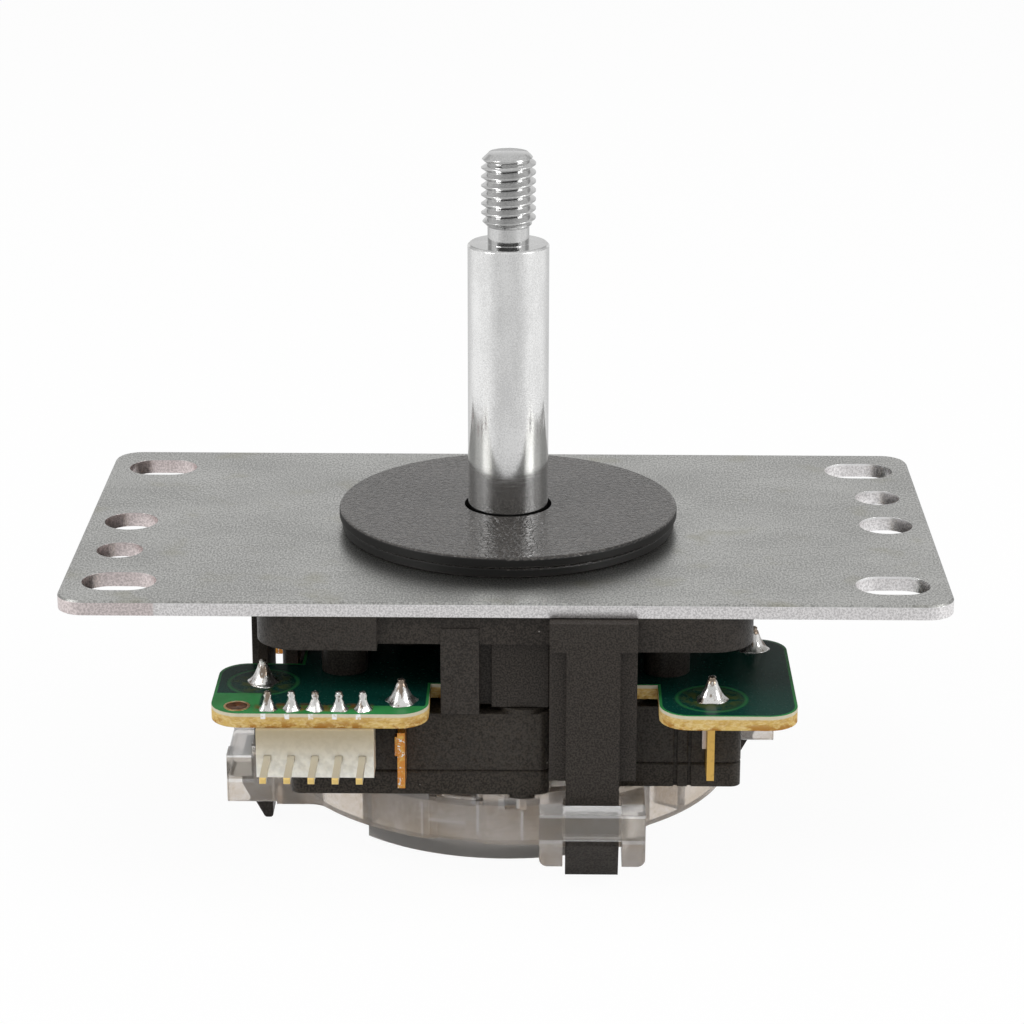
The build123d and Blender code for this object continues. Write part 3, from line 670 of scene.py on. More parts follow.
@dataclass(frozen=True)
class ClearPlastic(Finish):
    """Smoke tinted clear plastic. The painted highlight lines are rectangles: left, right, low and high side.
    """

    transmission: float = 0.75
    bending: float = 1.49
    cloud_scale: float = 160.0
    cloud_share: float = 0.7
    fine_scale: float = 2500.0
    warm: Colour = (0.70, 0.60, 0.49)
    edge_light: Colour = (1.0, 1.0, 1.0)
    # painted shade: the loop walls above the lower bar level darken toward this colour; their top and bottom
    # edges get painted highlights
    bar_painted_shade: Colour = (0.30, 0.28, 0.25)
    bar_share: float = 0.7
    bar_from: float = 28.0
    bar_levels: Span = (-25.4, -22.2)
    bar_edge: float = 0.32
    # painted light: the lowest band of the gate is lightened toward near white
    foot: float = -28.6
    foot_rise: float = 0.4
    foot_painted_light: Colour = (1.0, 0.97, 0.93)
    foot_light_share: float = 0.85
    line_soft: float = 0.06
    # painted highlights: each rectangle is whitened where an inner edge would catch light
    lines: tuple[tuple[float, float, float, float], ...] = (
        (-9.05, -8.85, -27.9, -23.9), (-3.05, -2.75, -27.2, -23.2), (1.75, 2.05, -27.6, -24.2),
        (-8.3, -4.2, -26.1, -25.75), (-8.4, -7.7, -23.5, -22.2), (-3.6, -2.9, -23.5, -22.2),
        (-8.4, -2.9, -22.6, -22.2), (-0.7, 1.5, -23.9, -22.7))

    def between(self, skin: Skin, value: Socket, low: float, high: float) -> Socket:
        """Returns a mask of the values between two others."""
        return skin.times(skin.step(value, low, self.line_soft), skin.step(value, high, -self.line_soft))

    def dress(self, skin: Skin) -> None:
        """Adds clouding, moulding ripples, painted highlights for the light caught by inner edges, painted
        shade on the bars of the loop walls and painted light at the foot.
        """
        skin.give("Transmission Weight", self.transmission)
        skin.give("IOR", self.bending)
        cloud = skin.noise(skin.place(), self.cloud_scale)
        both = skin.blend(cloud, self.cloud_share, skin.noise(skin.place(), self.fine_scale, 2.0))
        base = skin.mix(skin.ramp(both, 0.36, 0.6), self.warm, self.colour)
        x, y, z = skin.axes()
        low, high = self.bar_levels
        reach = skin.largest(skin.maths("ABSOLUTE", x), skin.maths("ABSOLUTE", y))
        # painted shade on the loop walls, and painted highlights along their top and bottom edges
        bar = skin.times(skin.maths("GREATER_THAN", reach, self.bar_from),
                         skin.maths("GREATER_THAN", z, low - 0.1))
        base = skin.mix(skin.times(bar, self.bar_share), base, self.bar_painted_shade)
        off = skin.distance(z, (low + high) / 2)
        lit = skin.times(bar, skin.step(off, (high - low) / 2 - self.bar_edge, 0.05))
        # painted highlights: the listed lines, kept to the front half below
        for left, right, bottom, top in self.lines:
            line = skin.times(self.between(skin, x, left, right), self.between(skin, z, bottom, top))
            lit = skin.largest(lit, line)
        lit = skin.times(lit, skin.maths("LESS_THAN", y, 0.0))
        # painted light at the foot of the gate
        foot = skin.ramp(z, self.foot + self.foot_rise, self.foot, 0.0, self.foot_light_share)
        base = skin.mix(foot, base, self.foot_painted_light)
        skin.give("Base Color", skin.mix(lit, base, self.edge_light))
        self.vary(skin, both, 0.0, 0.12)
        self.bump(skin, cloud, 0.15, 0.0001)


@dataclass(frozen=True)
class Nylon(Finish):
    """White or natural nylon that lets a little light through."""

    scatter: float = 0.35
    scatter_reach: float = 0.0012
    scatter_colours: Colour = (1.0, 0.9, 0.7)
    grain: float = 1800.0
    low: float = 0.86

    def dress(self, skin: Skin) -> None:
        """Adds light scattering and a faint mottle."""
        skin.give("Subsurface Weight", self.scatter)
        skin.give("Subsurface Radius", self.scatter_colours)
        skin.give("Subsurface Scale", self.scatter_reach)
        height, shade = skin.effect(GRAIN, Scale=self.grain)
        skin.give("Base Color", skin.mix(skin.ramp(shade, 0.35, 0.65), self.shade(self.low), self.colour))
        self.bump(skin, height, 0.2, 0.00002)


@dataclass(frozen=True)
class HeaderNylon(Nylon):
    """The connector's nylon, with painted shade: warmer and darker close under the board and tan on the side
    toward the blade.
    """

    # painted shade: colour of the nylon close under the board
    warm: Colour = (0.42, 0.34, 0.20)
    # painted shade: colour of the side that faces +X
    tan: Colour = (0.60, 0.49, 0.36)
    shade_heights: Span = (-17.6, -12.4)

    def dress(self, skin: Skin) -> None:
        """Adds the painted shade of the top and of the side to the nylon."""
        super().dress(skin)
        plain = skin.shader.inputs["Base Color"].links[0].from_socket
        # painted shade: the top darkens and warms toward the board
        shaded_top = skin.mix(skin.ramp(skin.axes()[2], *self.shade_heights, 0.0, 0.9), plain, self.warm)
        # painted shade: faces toward +X take the tan colour
        side = skin.maths("GREATER_THAN", skin.facing()[0], 0.5)
        skin.give("Base Color", skin.mix(side, shaded_top, self.tan))


@dataclass(frozen=True)
class PinTin(Finish):
    """Dull tin on the connector's pins, with the cut ends showing gold."""

    cloud_scale: float = 1400.0
    low: float = 0.75
    gold: Colour = (0.86, 0.62, 0.22)
    cover: Colour = (0.70, 0.65, 0.53)
    cover_levels: Span = (-24.5, -15.6)

    def dress(self, skin: Skin) -> None:
        """Adds a mottle, the nylon skin over the upper stretch and the gold ends."""
        skin.give("Metallic", 0.6)
        cloud = skin.noise(skin.place(), self.cloud_scale)
        tin = skin.mix(skin.ramp(cloud, 0.35, 0.65), self.shade(self.low), self.colour)
        tin = skin.mix(skin.ramp(skin.axes()[2], *self.cover_levels), tin, self.cover)
        front = skin.maths("LESS_THAN", skin.facing()[1], -0.7)
        skin.give("Base Color", skin.mix(front, tin, self.gold))
        self.bump(skin, cloud, 0.2, 0.00002)


@dataclass(frozen=True)
class BladeMetal(Finish):
    """Switch blades: copper with tin specks on the left ones, plain gold alloy on the right ones.

    The front right one has a silver step along its left edge.
    """

    copper: Colour = (0.72, 0.29, 0.06)
    tin: Colour = (0.86, 0.83, 0.77)
    dark: Colour = (0.40, 0.20, 0.05)
    silver: Colour = (0.62, 0.56, 0.54)
    step_edge: float = 21.58
    step_back: float = -20.0
    speck_scale: float = 2300.0
    stain_scale: float = 1500.0

    def dress(self, skin: Skin) -> None:
        """Adds the two sorts of blade and their specks."""
        skin.give("Metallic", 0.8)
        x, y, _ = skin.axes()
        right = skin.maths("GREATER_THAN", x, 0.0)
        specks = skin.noise(skin.place(), self.speck_scale, 3.0, 0.7)
        stain = skin.noise(skin.place(), self.stain_scale)
        left_side = skin.mix(skin.ramp(stain, 0.5, 0.72), self.copper, self.colour)
        left_side = skin.mix(skin.ramp(specks, 0.57, 0.61), left_side, self.tin)
        right_side = skin.mix(skin.ramp(stain, 0.5, 0.8, 0.0, 0.5), self.colour, self.dark)
        silver = skin.times(right, skin.maths("LESS_THAN", x, self.step_edge))
        silver = skin.times(silver, skin.maths("LESS_THAN", y, self.step_back))
        right_side = skin.mix(silver, right_side, self.silver)
        skin.give("Base Color", skin.mix(right, left_side, right_side))
        self.bump(skin, specks, 0.3, 0.00002)


@dataclass(frozen=True)
class PadMetal(Finish):
    """Copper of the test pad and its rim, with patches of tin."""

    tin: Colour = (0.72, 0.69, 0.62)
    copper: Colour = (0.62, 0.30, 0.10)
    cover: float = 0.5
    patch_scale: float = 900.0
    stain_scale: float = 1700.0

    def dress(self, skin: Skin) -> None:
        """Adds patches of tin and darker copper."""
        skin.give("Metallic", 0.85)
        patch = skin.noise(skin.stretched(1.0, 1.0, 0.6), self.patch_scale, 4.0, 0.7)
        stain = skin.noise(skin.place(), self.stain_scale)
        metal = skin.mix(skin.ramp(stain, 0.4, 0.65), self.colour, self.copper)
        skin.give("Base Color", skin.mix(skin.ramp(patch, self.cover, self.cover + 0.08), metal, self.tin))
        self.bump(skin, patch, 0.3, 0.00003)


@dataclass(frozen=True)
class Solder(Finish):
    """Bright solder with dull folds where it has frozen, and flux toward the tips."""

    flux: Colour = (0.20, 0.13, 0.075)
    flux_levels: Span = (-9.5, -8.7)
    fold_scale: float = 1500.0

    def dress(self, skin: Skin) -> None:
        """Adds folds and flux, more of it toward the tips."""
        skin.give("Metallic", 0.95)
        folds = skin.noise(skin.stretched(1.0, 1.0, 0.45), self.fold_scale, 3.0, 0.6)
        stain = skin.noise(skin.stretched(1.0, 1.0, 0.4), self.fold_scale, 3.0, 0.6)
        more = skin.ramp(skin.axes()[2], *self.flux_levels, 0.0, 0.14)
        share = skin.ramp(skin.plus(stain, more), 0.54, 0.66, 0.0, 0.85)
        skin.give("Base Color", skin.mix(share, self.colour, self.flux))
        self.vary(skin, folds, 0.0, 0.25, (0.4, 0.7))
        self.bump(skin, folds, 0.4, 0.00008)


@dataclass(frozen=True)
class BoardFinish(Finish):
    """Green lacquer over copper on top and below, and cut glass fibre round the edge.

    The copper pour shows as dark green. It stops short of the outline, and in front of the connector.
    """

    shine: float = 0.13
    bare: Colour = (0.035, 0.25, 0.07)
    bare_dark: Colour = (0.03, 0.19, 0.05)
    weave: Colour = (0.05, 0.11, 0.08)
    cloud_scale: float = 300.0
    grain_scale: float = 2600.0
    lobe_centre: Point = (-19.5, -23.7)
    lobe_half: Span = (11.5, 7.3)
    corner: float = 3.2
    core_half: float = 22.2
    margin: float = 0.3
    margin_soft: float = 0.08
    ring: float = 3.7
    ring_line: float = 0.7
    ring_share: float = 0.45
    halo: float = 4.4
    halo_core: float = 0.35
    residue: Colour = (0.075, 0.085, 0.014)
    residue_scale: float = 900.0
    strips: tuple[Point, ...] = ((-25.9, -25.2), (-8.0, -28.6))
    strip_soft: float = 0.15
    burnt: Colour = (0.20, 0.07, 0.02)
    burnt_back: Span = (1.9, 0.9)
    burnt_front: Span = (-1.0, -0.2)
    first_pin: Span = (-0.7, -0.4)
    last_pin: Span = (4.5, 4.2)
    fibre: Colour = (0.66, 0.45, 0.14)
    bright_fibre: Colour = (0.80, 0.64, 0.34)
    fibre_scale: float = 2600.0
    resin: Colour = (0.42, 0.20, 0.04)
    resin_scale: float = 700.0
    resin_level: float = -12.35
    edge_top: float = -10.85
    pale: Colour = (0.66, 0.66, 0.56)
    mark: Colour = (0.95, 0.95, 0.95)
    mark_shift: float = -0.42
    mark_half: Span = (0.13, 0.07)
    mark_scale: float = 2200.0
    side_rougher: float = 0.45

    def box_distance(self, skin: Skin, place: Socket, centre: Point, half: Span) -> Socket:
        """Distance to a rounded rectangle in millimetres, negative inside it.

        Args:
            skin: the material's skin.
            place: position in millimetres, with its height set to 0.
            centre: centre of the rectangle.
            half: its half sizes.

        Returns:
            The distance's socket.
        """
        sides = skin.vector_maths("ABSOLUTE", skin.vector_maths("SUBTRACT", place, (*centre, 0.0)))
        inner = (half[0] - self.corner, half[1] - self.corner, 0.0)
        outside = skin.vector_maths("MAXIMUM", skin.vector_maths("SUBTRACT", sides, inner), (0.0, 0.0, 0.0))
        return skin.minus(skin.vector_maths("LENGTH", outside), self.corner)

    def pin_steps(self, skin: Skin, x: Socket, first: float) -> tuple[Socket, Socket]:
        """Counts along the connector's row.

        Args:
            skin: the material's skin.
            x: place to the right, in millimetres.
            first: where the count is 0.

        Returns:
            The count in pitches, and how far it is from a whole one.
        """
        count = skin.maths("DIVIDE", skin.minus(x, first), BOARD.pin_pitch)
        return count, skin.distance(count, skin.maths("ROUND", count))

    def copper(self, skin: Skin, flat: Socket, x: Socket, y: Socket) -> tuple[Socket, Socket]:
        """Finds the pour under the lacquer.

        Args:
            skin: the material's skin.
            flat: position in millimetres, with its height set to 0.
            x: place to the right, in millimetres.
            y: place to the back, in millimetres.

        Returns:
            Masks of the pour and of the flux residue round the open leads.
        """
        pour = self.box_distance(skin, flat, (0.0, 0.0), (self.core_half, self.core_half))
        for turns in range(4):
            half = self.lobe_half[::-1] if turns % 2 else self.lobe_half
            lobe = self.box_distance(skin, flat, turned(self.lobe_centre, turns), half)
            pour = skin.maths("MINIMUM", pour, lobe)
        covered = skin.step(pour, -self.margin, -self.margin_soft)
        residue = 0.0
        for turns in range(4):
            reach = skin.vector_maths("DISTANCE", flat, (*turned(BOARD.open_lead, turns), 0.0))
            off = skin.distance(reach, self.ring)
            covered = skin.times(covered, skin.ramp(off, 0.0, self.ring_line / 2, 1 - self.ring_share, 1.0))
            residue = skin.largest(residue, skin.ramp(reach, self.halo, self.halo * self.halo_core))
        left_out = 0.0
        for right, back in self.strips:
            strip = skin.times(skin.step(y, back, -self.strip_soft), skin.step(x, right, -self.strip_soft))
            left_out = skin.largest(left_out, strip)
        return skin.times(covered, skin.minus(1.0, left_out)), residue

    def cut_side(self, skin: Skin, x: Socket, y: Socket, within: Socket) -> Socket:
        """Colours the cut edge: fibres, burnt resin, a pale upper line and white marks by the pins.

        Args:
            skin: the material's skin.
            x: place to the right, in millimetres.
            y: place to the back, in millimetres.
            within: mask of the stretch that the connector takes up.

        Returns:
            The colour's socket.
        """
        top, height = self.edge_top, skin.axes()[2]
        fibres = skin.noise(skin.stretched(1.0, 1.0, 2.5), self.fibre_scale, 2.0)
        side = skin.mix(skin.ramp(fibres, 0.42, 0.62, 0.0, 0.6), self.fibre, self.bright_fibre)
        stain = skin.noise(skin.stretched(1.0, 1.0, 1.6), self.resin_scale, 4.0, 0.7)
        burn = skin.ramp(height, top - 0.5, self.resin_level, 0.35, 1.0)
        side = skin.mix(skin.times(skin.ramp(stain, 0.44, 0.6), burn), side, self.resin)
        pale = skin.ramp(height, top - 0.42, top - 0.25)
        side = skin.mix(skin.times(pale, 0.75), side, self.pale)
        _, aside = self.pin_steps(skin, x, BOARD.pin_first + self.mark_shift)
        tall = skin.ramp(height, top - 0.62, top - 0.5)
        broken = skin.ramp(skin.noise(skin.place(), self.mark_scale, 2.0), 0.40, 0.5, 0.25, 1.0)
        mark = skin.times(skin.times(skin.ramp(aside, *self.mark_half), skin.times(within, tall)), broken)
        return skin.mix(skin.times(mark, skin.maths("LESS_THAN", y, BOARD.pin_row)), side, self.mark)

    def dress(self, skin: Skin) -> None:
        """Adds the pour, its gaps, the residue and the cut sides."""
        skin.give("Specular IOR Level", self.shine)
        flat = skin.vector_maths("MULTIPLY", skin.place(), (1 / MM, 1 / MM, 0.0))
        x, y, _ = skin.split(flat)
        covered, residue = self.copper(skin, flat, x, y)
        cloud = skin.noise(skin.place(), self.cloud_scale)
        grain = skin.noise(skin.place(), self.grain_scale, 2.0)
        thin = skin.mix(skin.ramp(cloud, 0.35, 0.7), self.bare, self.bare_dark)
        lacquer = skin.mix(covered, thin, self.colour)
        lacquer = skin.mix(skin.ramp(grain, 0.55, 0.8, 0.0, 0.25), lacquer, self.weave)
        spotty = skin.ramp(skin.noise(skin.place(), self.residue_scale), 0.38, 0.6, 0.0, 0.75)
        lacquer = skin.mix(skin.times(residue, spotty), lacquer, self.residue)
        count, between = self.pin_steps(skin, x, BOARD.pin_first)
        back, front = (skin.ramp(y, *(BOARD.pin_row + off for off in span))
                       for span in (self.burnt_back, self.burnt_front))
        within = skin.times(skin.ramp(count, *self.first_pin), skin.ramp(count, *self.last_pin))
        burnt = skin.times(skin.times(skin.times(back, front), within), skin.ramp(between, 0.2, 0.42))
        lacquer = skin.mix(skin.times(burnt, spotty), lacquer, self.burnt)
        cut = skin.upright()
        skin.give("Base Color", skin.mix(cut, lacquer, self.cut_side(skin, x, y, within)))
        skin.give("Roughness", skin.plus(skin.times(cut, self.side_rougher), self.roughness))
        self.bump(skin, skin.plus(covered, skin.times(grain, 0.3)), 0.3, 0.00003)


FINISHES = (
    PlateSteel("plate_steel", (0.42, 0.42, 0.405), 0.34, 0.05),
    Chrome("shaft_chrome", (0.84, 0.84, 0.835), 0.09),
    Moulding("black_moulding", (0.033, 0.0275, 0.023), 0.40, 0.14),
    Washer("washer_plastic", (0.088, 0.081, 0.075), 0.17, 0.06),
    Moulding("black_switch", (0.034, 0.028, 0.022), 0.46, 0.2, grain=4600.0),
    Moulding("plunger_plastic", (0.32, 0.05, 0.04), 0.4, edge=(0.5, 0.15, 0.12)),
    BoardFinish("board_mask", (0.003, 0.040, 0.030), 0.26),
    BladeMetal("terminal_brass", (0.80, 0.50, 0.13), 0.36, 0.05),
    Solder("solder", (0.82, 0.81, 0.79), 0.14),
    HeaderNylon("white_nylon", (0.93, 0.91, 0.83), 0.42),
    ClearPlastic("clear_gate", (0.88, 0.83, 0.79), 0.08, 0.22),
    Nylon("nylon_pivot", (0.72, 0.71, 0.67), 0.4),
    Steel("spring_steel", (0.52, 0.52, 0.52), 0.25, along=900.0, across=900.0),
    Steel("screw_steel", (0.48, 0.48, 0.48), 0.3, along=700.0, across=2500.0),
    PadMetal("pad_copper", (0.24, 0.09, 0.035), 0.42, tin=(0.36, 0.16, 0.07), copper=(0.12, 0.05, 0.02),
             cover=0.6),
    PadMetal("pad_rim", (0.72, 0.50, 0.26), 0.4, tin=(0.66, 0.52, 0.34)),
    PinTin("header_pins", (0.52, 0.46, 0.38), 0.4, 0.05),
)


def dress_nodes(nodes: dict[str, bpy.types.Object], record: dict, materials: Materials) -> None:
    """Gives every solid of the frame the material of its slot, and the connector's pins their own.

    Args:
        nodes: the frame's objects by node name.
        record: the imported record, which names each node's slot.
        materials: the finished materials by name, which is a slot's or a node's.
    """
    for part in record["subparts"]:
        mesh = nodes[part["node"]].data
        mesh.materials.clear()
        mesh.materials.append(materials.get(part["node"], materials[part["material_slot"]]))
    LOG.info("dressed %d solids", len(record["subparts"]))


# Mesh helpers


def to_data(name: str, mesh: bmesh.types.BMesh) -> bpy.types.Mesh:
    """Returns a bmesh as mesh data, and frees it."""
    data = bpy.data.meshes.new(name)
    mesh.to_mesh(data)
    mesh.free()
    return data


def stand(name: str, data: bpy.types.ID) -> bpy.types.Object:
    """Returns a new object of the data, linked to the scene."""
    thing = bpy.data.objects.new(name, data)
    bpy.context.scene.collection.objects.link(thing)
    return thing


def settle(name: str, mesh: bmesh.types.BMesh, material: bpy.types.Material, body: Body,
           smooth: float = 35.0) -> bpy.types.Object:
    """Turns a finished bmesh into an object that rides on a body.

    Args:
        name: name of the piece.
        mesh: its bmesh, in metres, which is freed.
        material: its finish.
        body: the body that it moves with.
        smooth: edges sharper than this angle in degrees stay hard.

    Returns:
        The new object.
    """
    bmesh.ops.remove_doubles(mesh, verts=mesh.verts, dist=WELD)
    bmesh.ops.recalc_face_normals(mesh, faces=mesh.faces)
    data = to_data(name, mesh)
    data.shade_smooth()
    data.set_sharp_from_angle(angle=math.radians(smooth))
    data.materials.append(material)
    piece = stand(name, data)
    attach(piece, body.value)
    LOG.info("%s: %d faces", name, len(data.polygons))
    return piece


def lathe(mesh: bmesh.types.BMesh, outline: list[Point], steps: int,
          centre: Point = (0.0, 0.0)) -> list[bmesh.types.BMVert]:
    """Turns an outline about an upright axis.

    Args:
        mesh: bmesh to add to.
        outline: radius and height pairs in millimetres, from one end to the other.
        steps: number of steps in the full turn.
        centre: where the axis stands, in millimetres.

    Returns:
        The vertices of the new surface.
    """
    x, y = centre
    verts = [mesh.verts.new(mm(x + radius, y, height)) for radius, height in outline]
    edges = [mesh.edges.new(pair) for pair in zip(verts, verts[1:])]
    before = set(mesh.verts) - set(verts)
    bmesh.ops.spin(mesh, geom=verts + edges, cent=mm(x, y, 0.0), axis=UP,
                   angle=2 * math.pi, steps=steps, use_merge=True)
    made = [vert for vert in mesh.verts if vert not in before]
    bmesh.ops.remove_doubles(mesh, verts=made, dist=WELD)
    return [vert for vert in mesh.verts if vert not in before]


@dataclass
class LeverShaft:
    """The lever's shaft with its threaded stud, in millimetres."""

    radius: float = 4.5
    shoulder: float = 32.5
    shoulder_break: float = 0.25
    neck: float = 2.3
    neck_top: float = 34.4
    stud_top: float = 42.6
    crest: float = 3.0
    root: float = 2.36
    pitch: float = 1.0
    crest_flat: float = 0.1
    chamfer: float = 0.85
    thread_smooth: float = 50.0
    thread_weld: float = 1e-6
    step_height: float = -4.33
    spindle: float = 3.0
    groove: float = 2.4
    groove_top: float = -28.6
    groove_low: float = -29.33
    end: float = -30.5
    end_break: float = 0.4
    slot_width: float = 1.0
    slot_depth: float = 0.9
    steps: int = 96

    def plain_part(self) -> bmesh.types.BMesh:
        """Returns the turned shaft, from its lower end to inside the thread."""
        mesh = bmesh.new()
        outline = [(0.0, self.end), (self.spindle - self.end_break, self.end),
                   (self.spindle, self.end + self.end_break), (self.spindle, self.groove_low),
                   (self.groove, self.groove_low), (self.groove, self.groove_top),
                   (self.spindle, self.groove_top), (self.spindle, self.step_height),
                   (self.radius, self.step_height), (self.radius, self.shoulder - self.shoulder_break),
                   (self.radius - self.shoulder_break, self.shoulder), (self.neck, self.shoulder),
                   (self.neck, self.neck_top + self.pitch), (0.0, self.neck_top + self.pitch)]
        lathe(mesh, outline, self.steps)
        return mesh

    def thread(self) -> bmesh.types.BMesh:
        """Returns the threaded stud, a profile of one pitch swept up a helix and trimmed."""
        mesh = bmesh.new()
        low = self.neck_top - 1.5 * self.pitch
        flat = self.crest_flat * self.pitch / 2
        middle = self.pitch / 2
        flank = (self.root + self.crest) / 2
        outline = [(self.root, 0.0), (flank, (middle - flat) / 2), (self.crest, middle - flat),
                   (self.crest, middle + flat), (flank, (self.pitch + middle + flat) / 2),
                   (self.root, self.pitch)]
        verts = [mesh.verts.new(mm(radius, 0.0, low + height)) for radius, height in outline]
        edges = [mesh.edges.new(pair) for pair in zip(verts, verts[1:])]
        turns = math.ceil((self.stud_top - low) / self.pitch) + 1
        bmesh.ops.spin(mesh, geom=verts + edges, cent=(0.0, 0.0, 0.0), axis=UP,
                       dvec=mm(0.0, 0.0, self.pitch / self.steps), angle=2 * math.pi * turns,
                       steps=turns * self.steps)
        bmesh.ops.remove_doubles(mesh, verts=mesh.verts, dist=self.thread_weld)
        for height, outer in ((self.stud_top, True), (self.neck_top, False)):
            bmesh.ops.bisect_plane(mesh, geom=mesh.verts[:] + mesh.edges[:] + mesh.faces[:],
                                   plane_co=mm(0.0, 0.0, height), plane_no=UP,
                                   clear_outer=outer, clear_inner=not outer)
        for vert in mesh.verts:
            reach = math.hypot(vert.co.x, vert.co.y) / MM
            height = vert.co.z / MM
            top = self.crest - max(0.0, height - self.stud_top + self.chamfer)
            foot = self.neck + max(0.0, height - self.neck_top)
            share = min(1.0, top / reach, foot / reach)
            vert.co.x *= share
            vert.co.y *= share
        rims = [edge for edge in mesh.edges if edge.is_boundary]
        bmesh.ops.holes_fill(mesh, edges=rims, sides=0)
        return mesh

    def cut_slot(self, piece: bpy.types.Object) -> None:
        """Cuts the screwdriver slot into the shaft's lower end.

        Args:
            piece: the shaft's object.
        """
        cutter = bmesh.new()
        size = (4 * self.spindle, self.slot_width, 2 * self.slot_depth)
        bmesh.ops.create_cube(cutter, size=1.0, matrix=Matrix.Translation(mm(0.0, 0.0, self.end))
                              @ Matrix.Diagonal((*mm(*size), 1.0)))
        tool = stand("slot_cutter", to_data("slot_cutter", cutter))
        modifier = piece.modifiers.new("slot", "BOOLEAN")
        modifier.object = tool
        modifier.operation = "DIFFERENCE"
        done = bpy.data.meshes.new_from_object(piece.evaluated_get(bpy.context.evaluated_depsgraph_get()))
        piece.modifiers.clear()
        piece.data = done
        bpy.data.objects.remove(tool)

    def build(self, materials: Materials) -> None:
        """Builds the shaft and its stud.

        Args:
            materials: the finished materials by name.
        """
        chrome = materials["shaft_chrome"]
        shaft = settle("shaft_turned", self.plain_part(), chrome, Body.SHAFT)
        self.cut_slot(shaft)
        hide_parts("lever_shaft")
        settle("shaft_thread", self.thread(), chrome, Body.SHAFT, self.thread_smooth)


@dataclass
class SolderJoints:
    """Solder cones round the switches' leads and the connector's pins, in millimetres.

    The points of the hollow flank are shares of the foot's radius and of the height, and those of the tip
    are shares of the lead's radius and of the height.
    """

    base: float = 1.7
    height: float = 2.6
    lead: float = 0.42
    pin_base: float = 1.0
    pin_height: float = 2.0
    pin_lead: float = 0.36
    wet_rise: float = 0.05
    flank: tuple[Point, ...] = ((0.82, 0.10), (0.64, 0.26), (0.50, 0.45), (0.38, 0.64))
    tip: tuple[Point, ...] = ((1.25, 0.80), (0.92, 0.86), (1.0, 0.95), (0.6, 1.0), (0.0, 1.0))
    steps: int = 32
    unevenness: float = 0.09
    smooth: float = 60.0

    def cone(self, mesh: bmesh.types.BMesh, centre: Point, base: float, height: float, lead: float) -> None:
        """Adds one cone with a hollow flank, a wet foot and the lead's end on top.

        Args:
            mesh: bmesh to add to.
            centre: where the lead stands.
            base: radius of the foot.
            height: height of the lead's end over the board.
            lead: radius of the lead's end.
        """
        foot = BOARD.top
        outline = [(0.0, foot), (base, foot), (base * 0.96, foot + self.wet_rise)]
        for radius, shares in ((base, self.flank), (lead, self.tip)):
            outline += [(radius * across, foot + height * up) for across, up in shares]
        x, y = centre
        for vert in lathe(mesh, outline, self.steps, centre):
            rise = vert.co.z / MM - foot
            angle = math.atan2(vert.co.y / MM - y, vert.co.x / MM - x)
            phase = x * 1.7 + y * 2.3
            wave = math.sin(3 * angle + phase) + 0.6 * math.sin(5 * angle - 2 * phase)
            share = 1 + self.unevenness * wave * max(0.0, 1 - rise / (0.8 * height))
            vert.co.x = (x + (vert.co.x / MM - x) * share) * MM
            vert.co.y = (y + (vert.co.y / MM - y) * share) * MM

    def build(self, materials: Materials) -> None:
        """Builds the eight large and five small joints as two pieces.

        Args:
            materials: the finished materials by name.
        """
        large = bmesh.new()
        for turns in range(4):
            for place in (BOARD.common_lead, BOARD.open_lead):
                self.cone(large, turned(place, turns), self.base, self.height, self.lead)
        piece = settle("solder_of_switches", large, materials["solder"], Body.BASE, self.smooth)
        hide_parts("solder_joints")
        small = bmesh.new()
        for index in range(BOARD.pins):
            centre = (BOARD.pin_first + index * BOARD.pin_pitch, BOARD.pin_row)
            self.cone(small, centre, self.pin_base, self.pin_height, self.pin_lead)
        settle("solder_of_header", small, materials["solder"], Body.BASE, self.smooth)


@dataclass
class TestPad:
    """Bare copper pad with a tinned rim at the board's front left corner, in millimetres."""

    centre: Point = (-28.2, -28.9)
    radius: float = 1.15
    rim: float = 1.4
    proud: float = 0.03
    dimple: Span = (0.3, 0.2)
    steps: int = 40

    def build(self, materials: Materials) -> None:
        """Builds the pad and its rim.

        Args:
            materials: the finished materials by name.
        """
        top, over, middle = BOARD.top, BOARD.top + self.proud, BOARD.top + self.proud / 2
        wide, narrow = self.dimple
        outlines = {
            "pad_copper": [(0.0, top), (self.radius, top), (self.radius, over), (wide, over),
                           (narrow, middle), (0.0, middle)],
            "pad_rim": [(self.radius, top), (self.rim, top), (self.rim, over),
                        (self.radius, top + 2 * self.proud), (self.radius, top)],
        }
        for name, outline in outlines.items():
            mesh = bmesh.new()
            lathe(mesh, outline, self.steps, self.centre)
            settle(name, mesh, materials[name], Body.BASE)


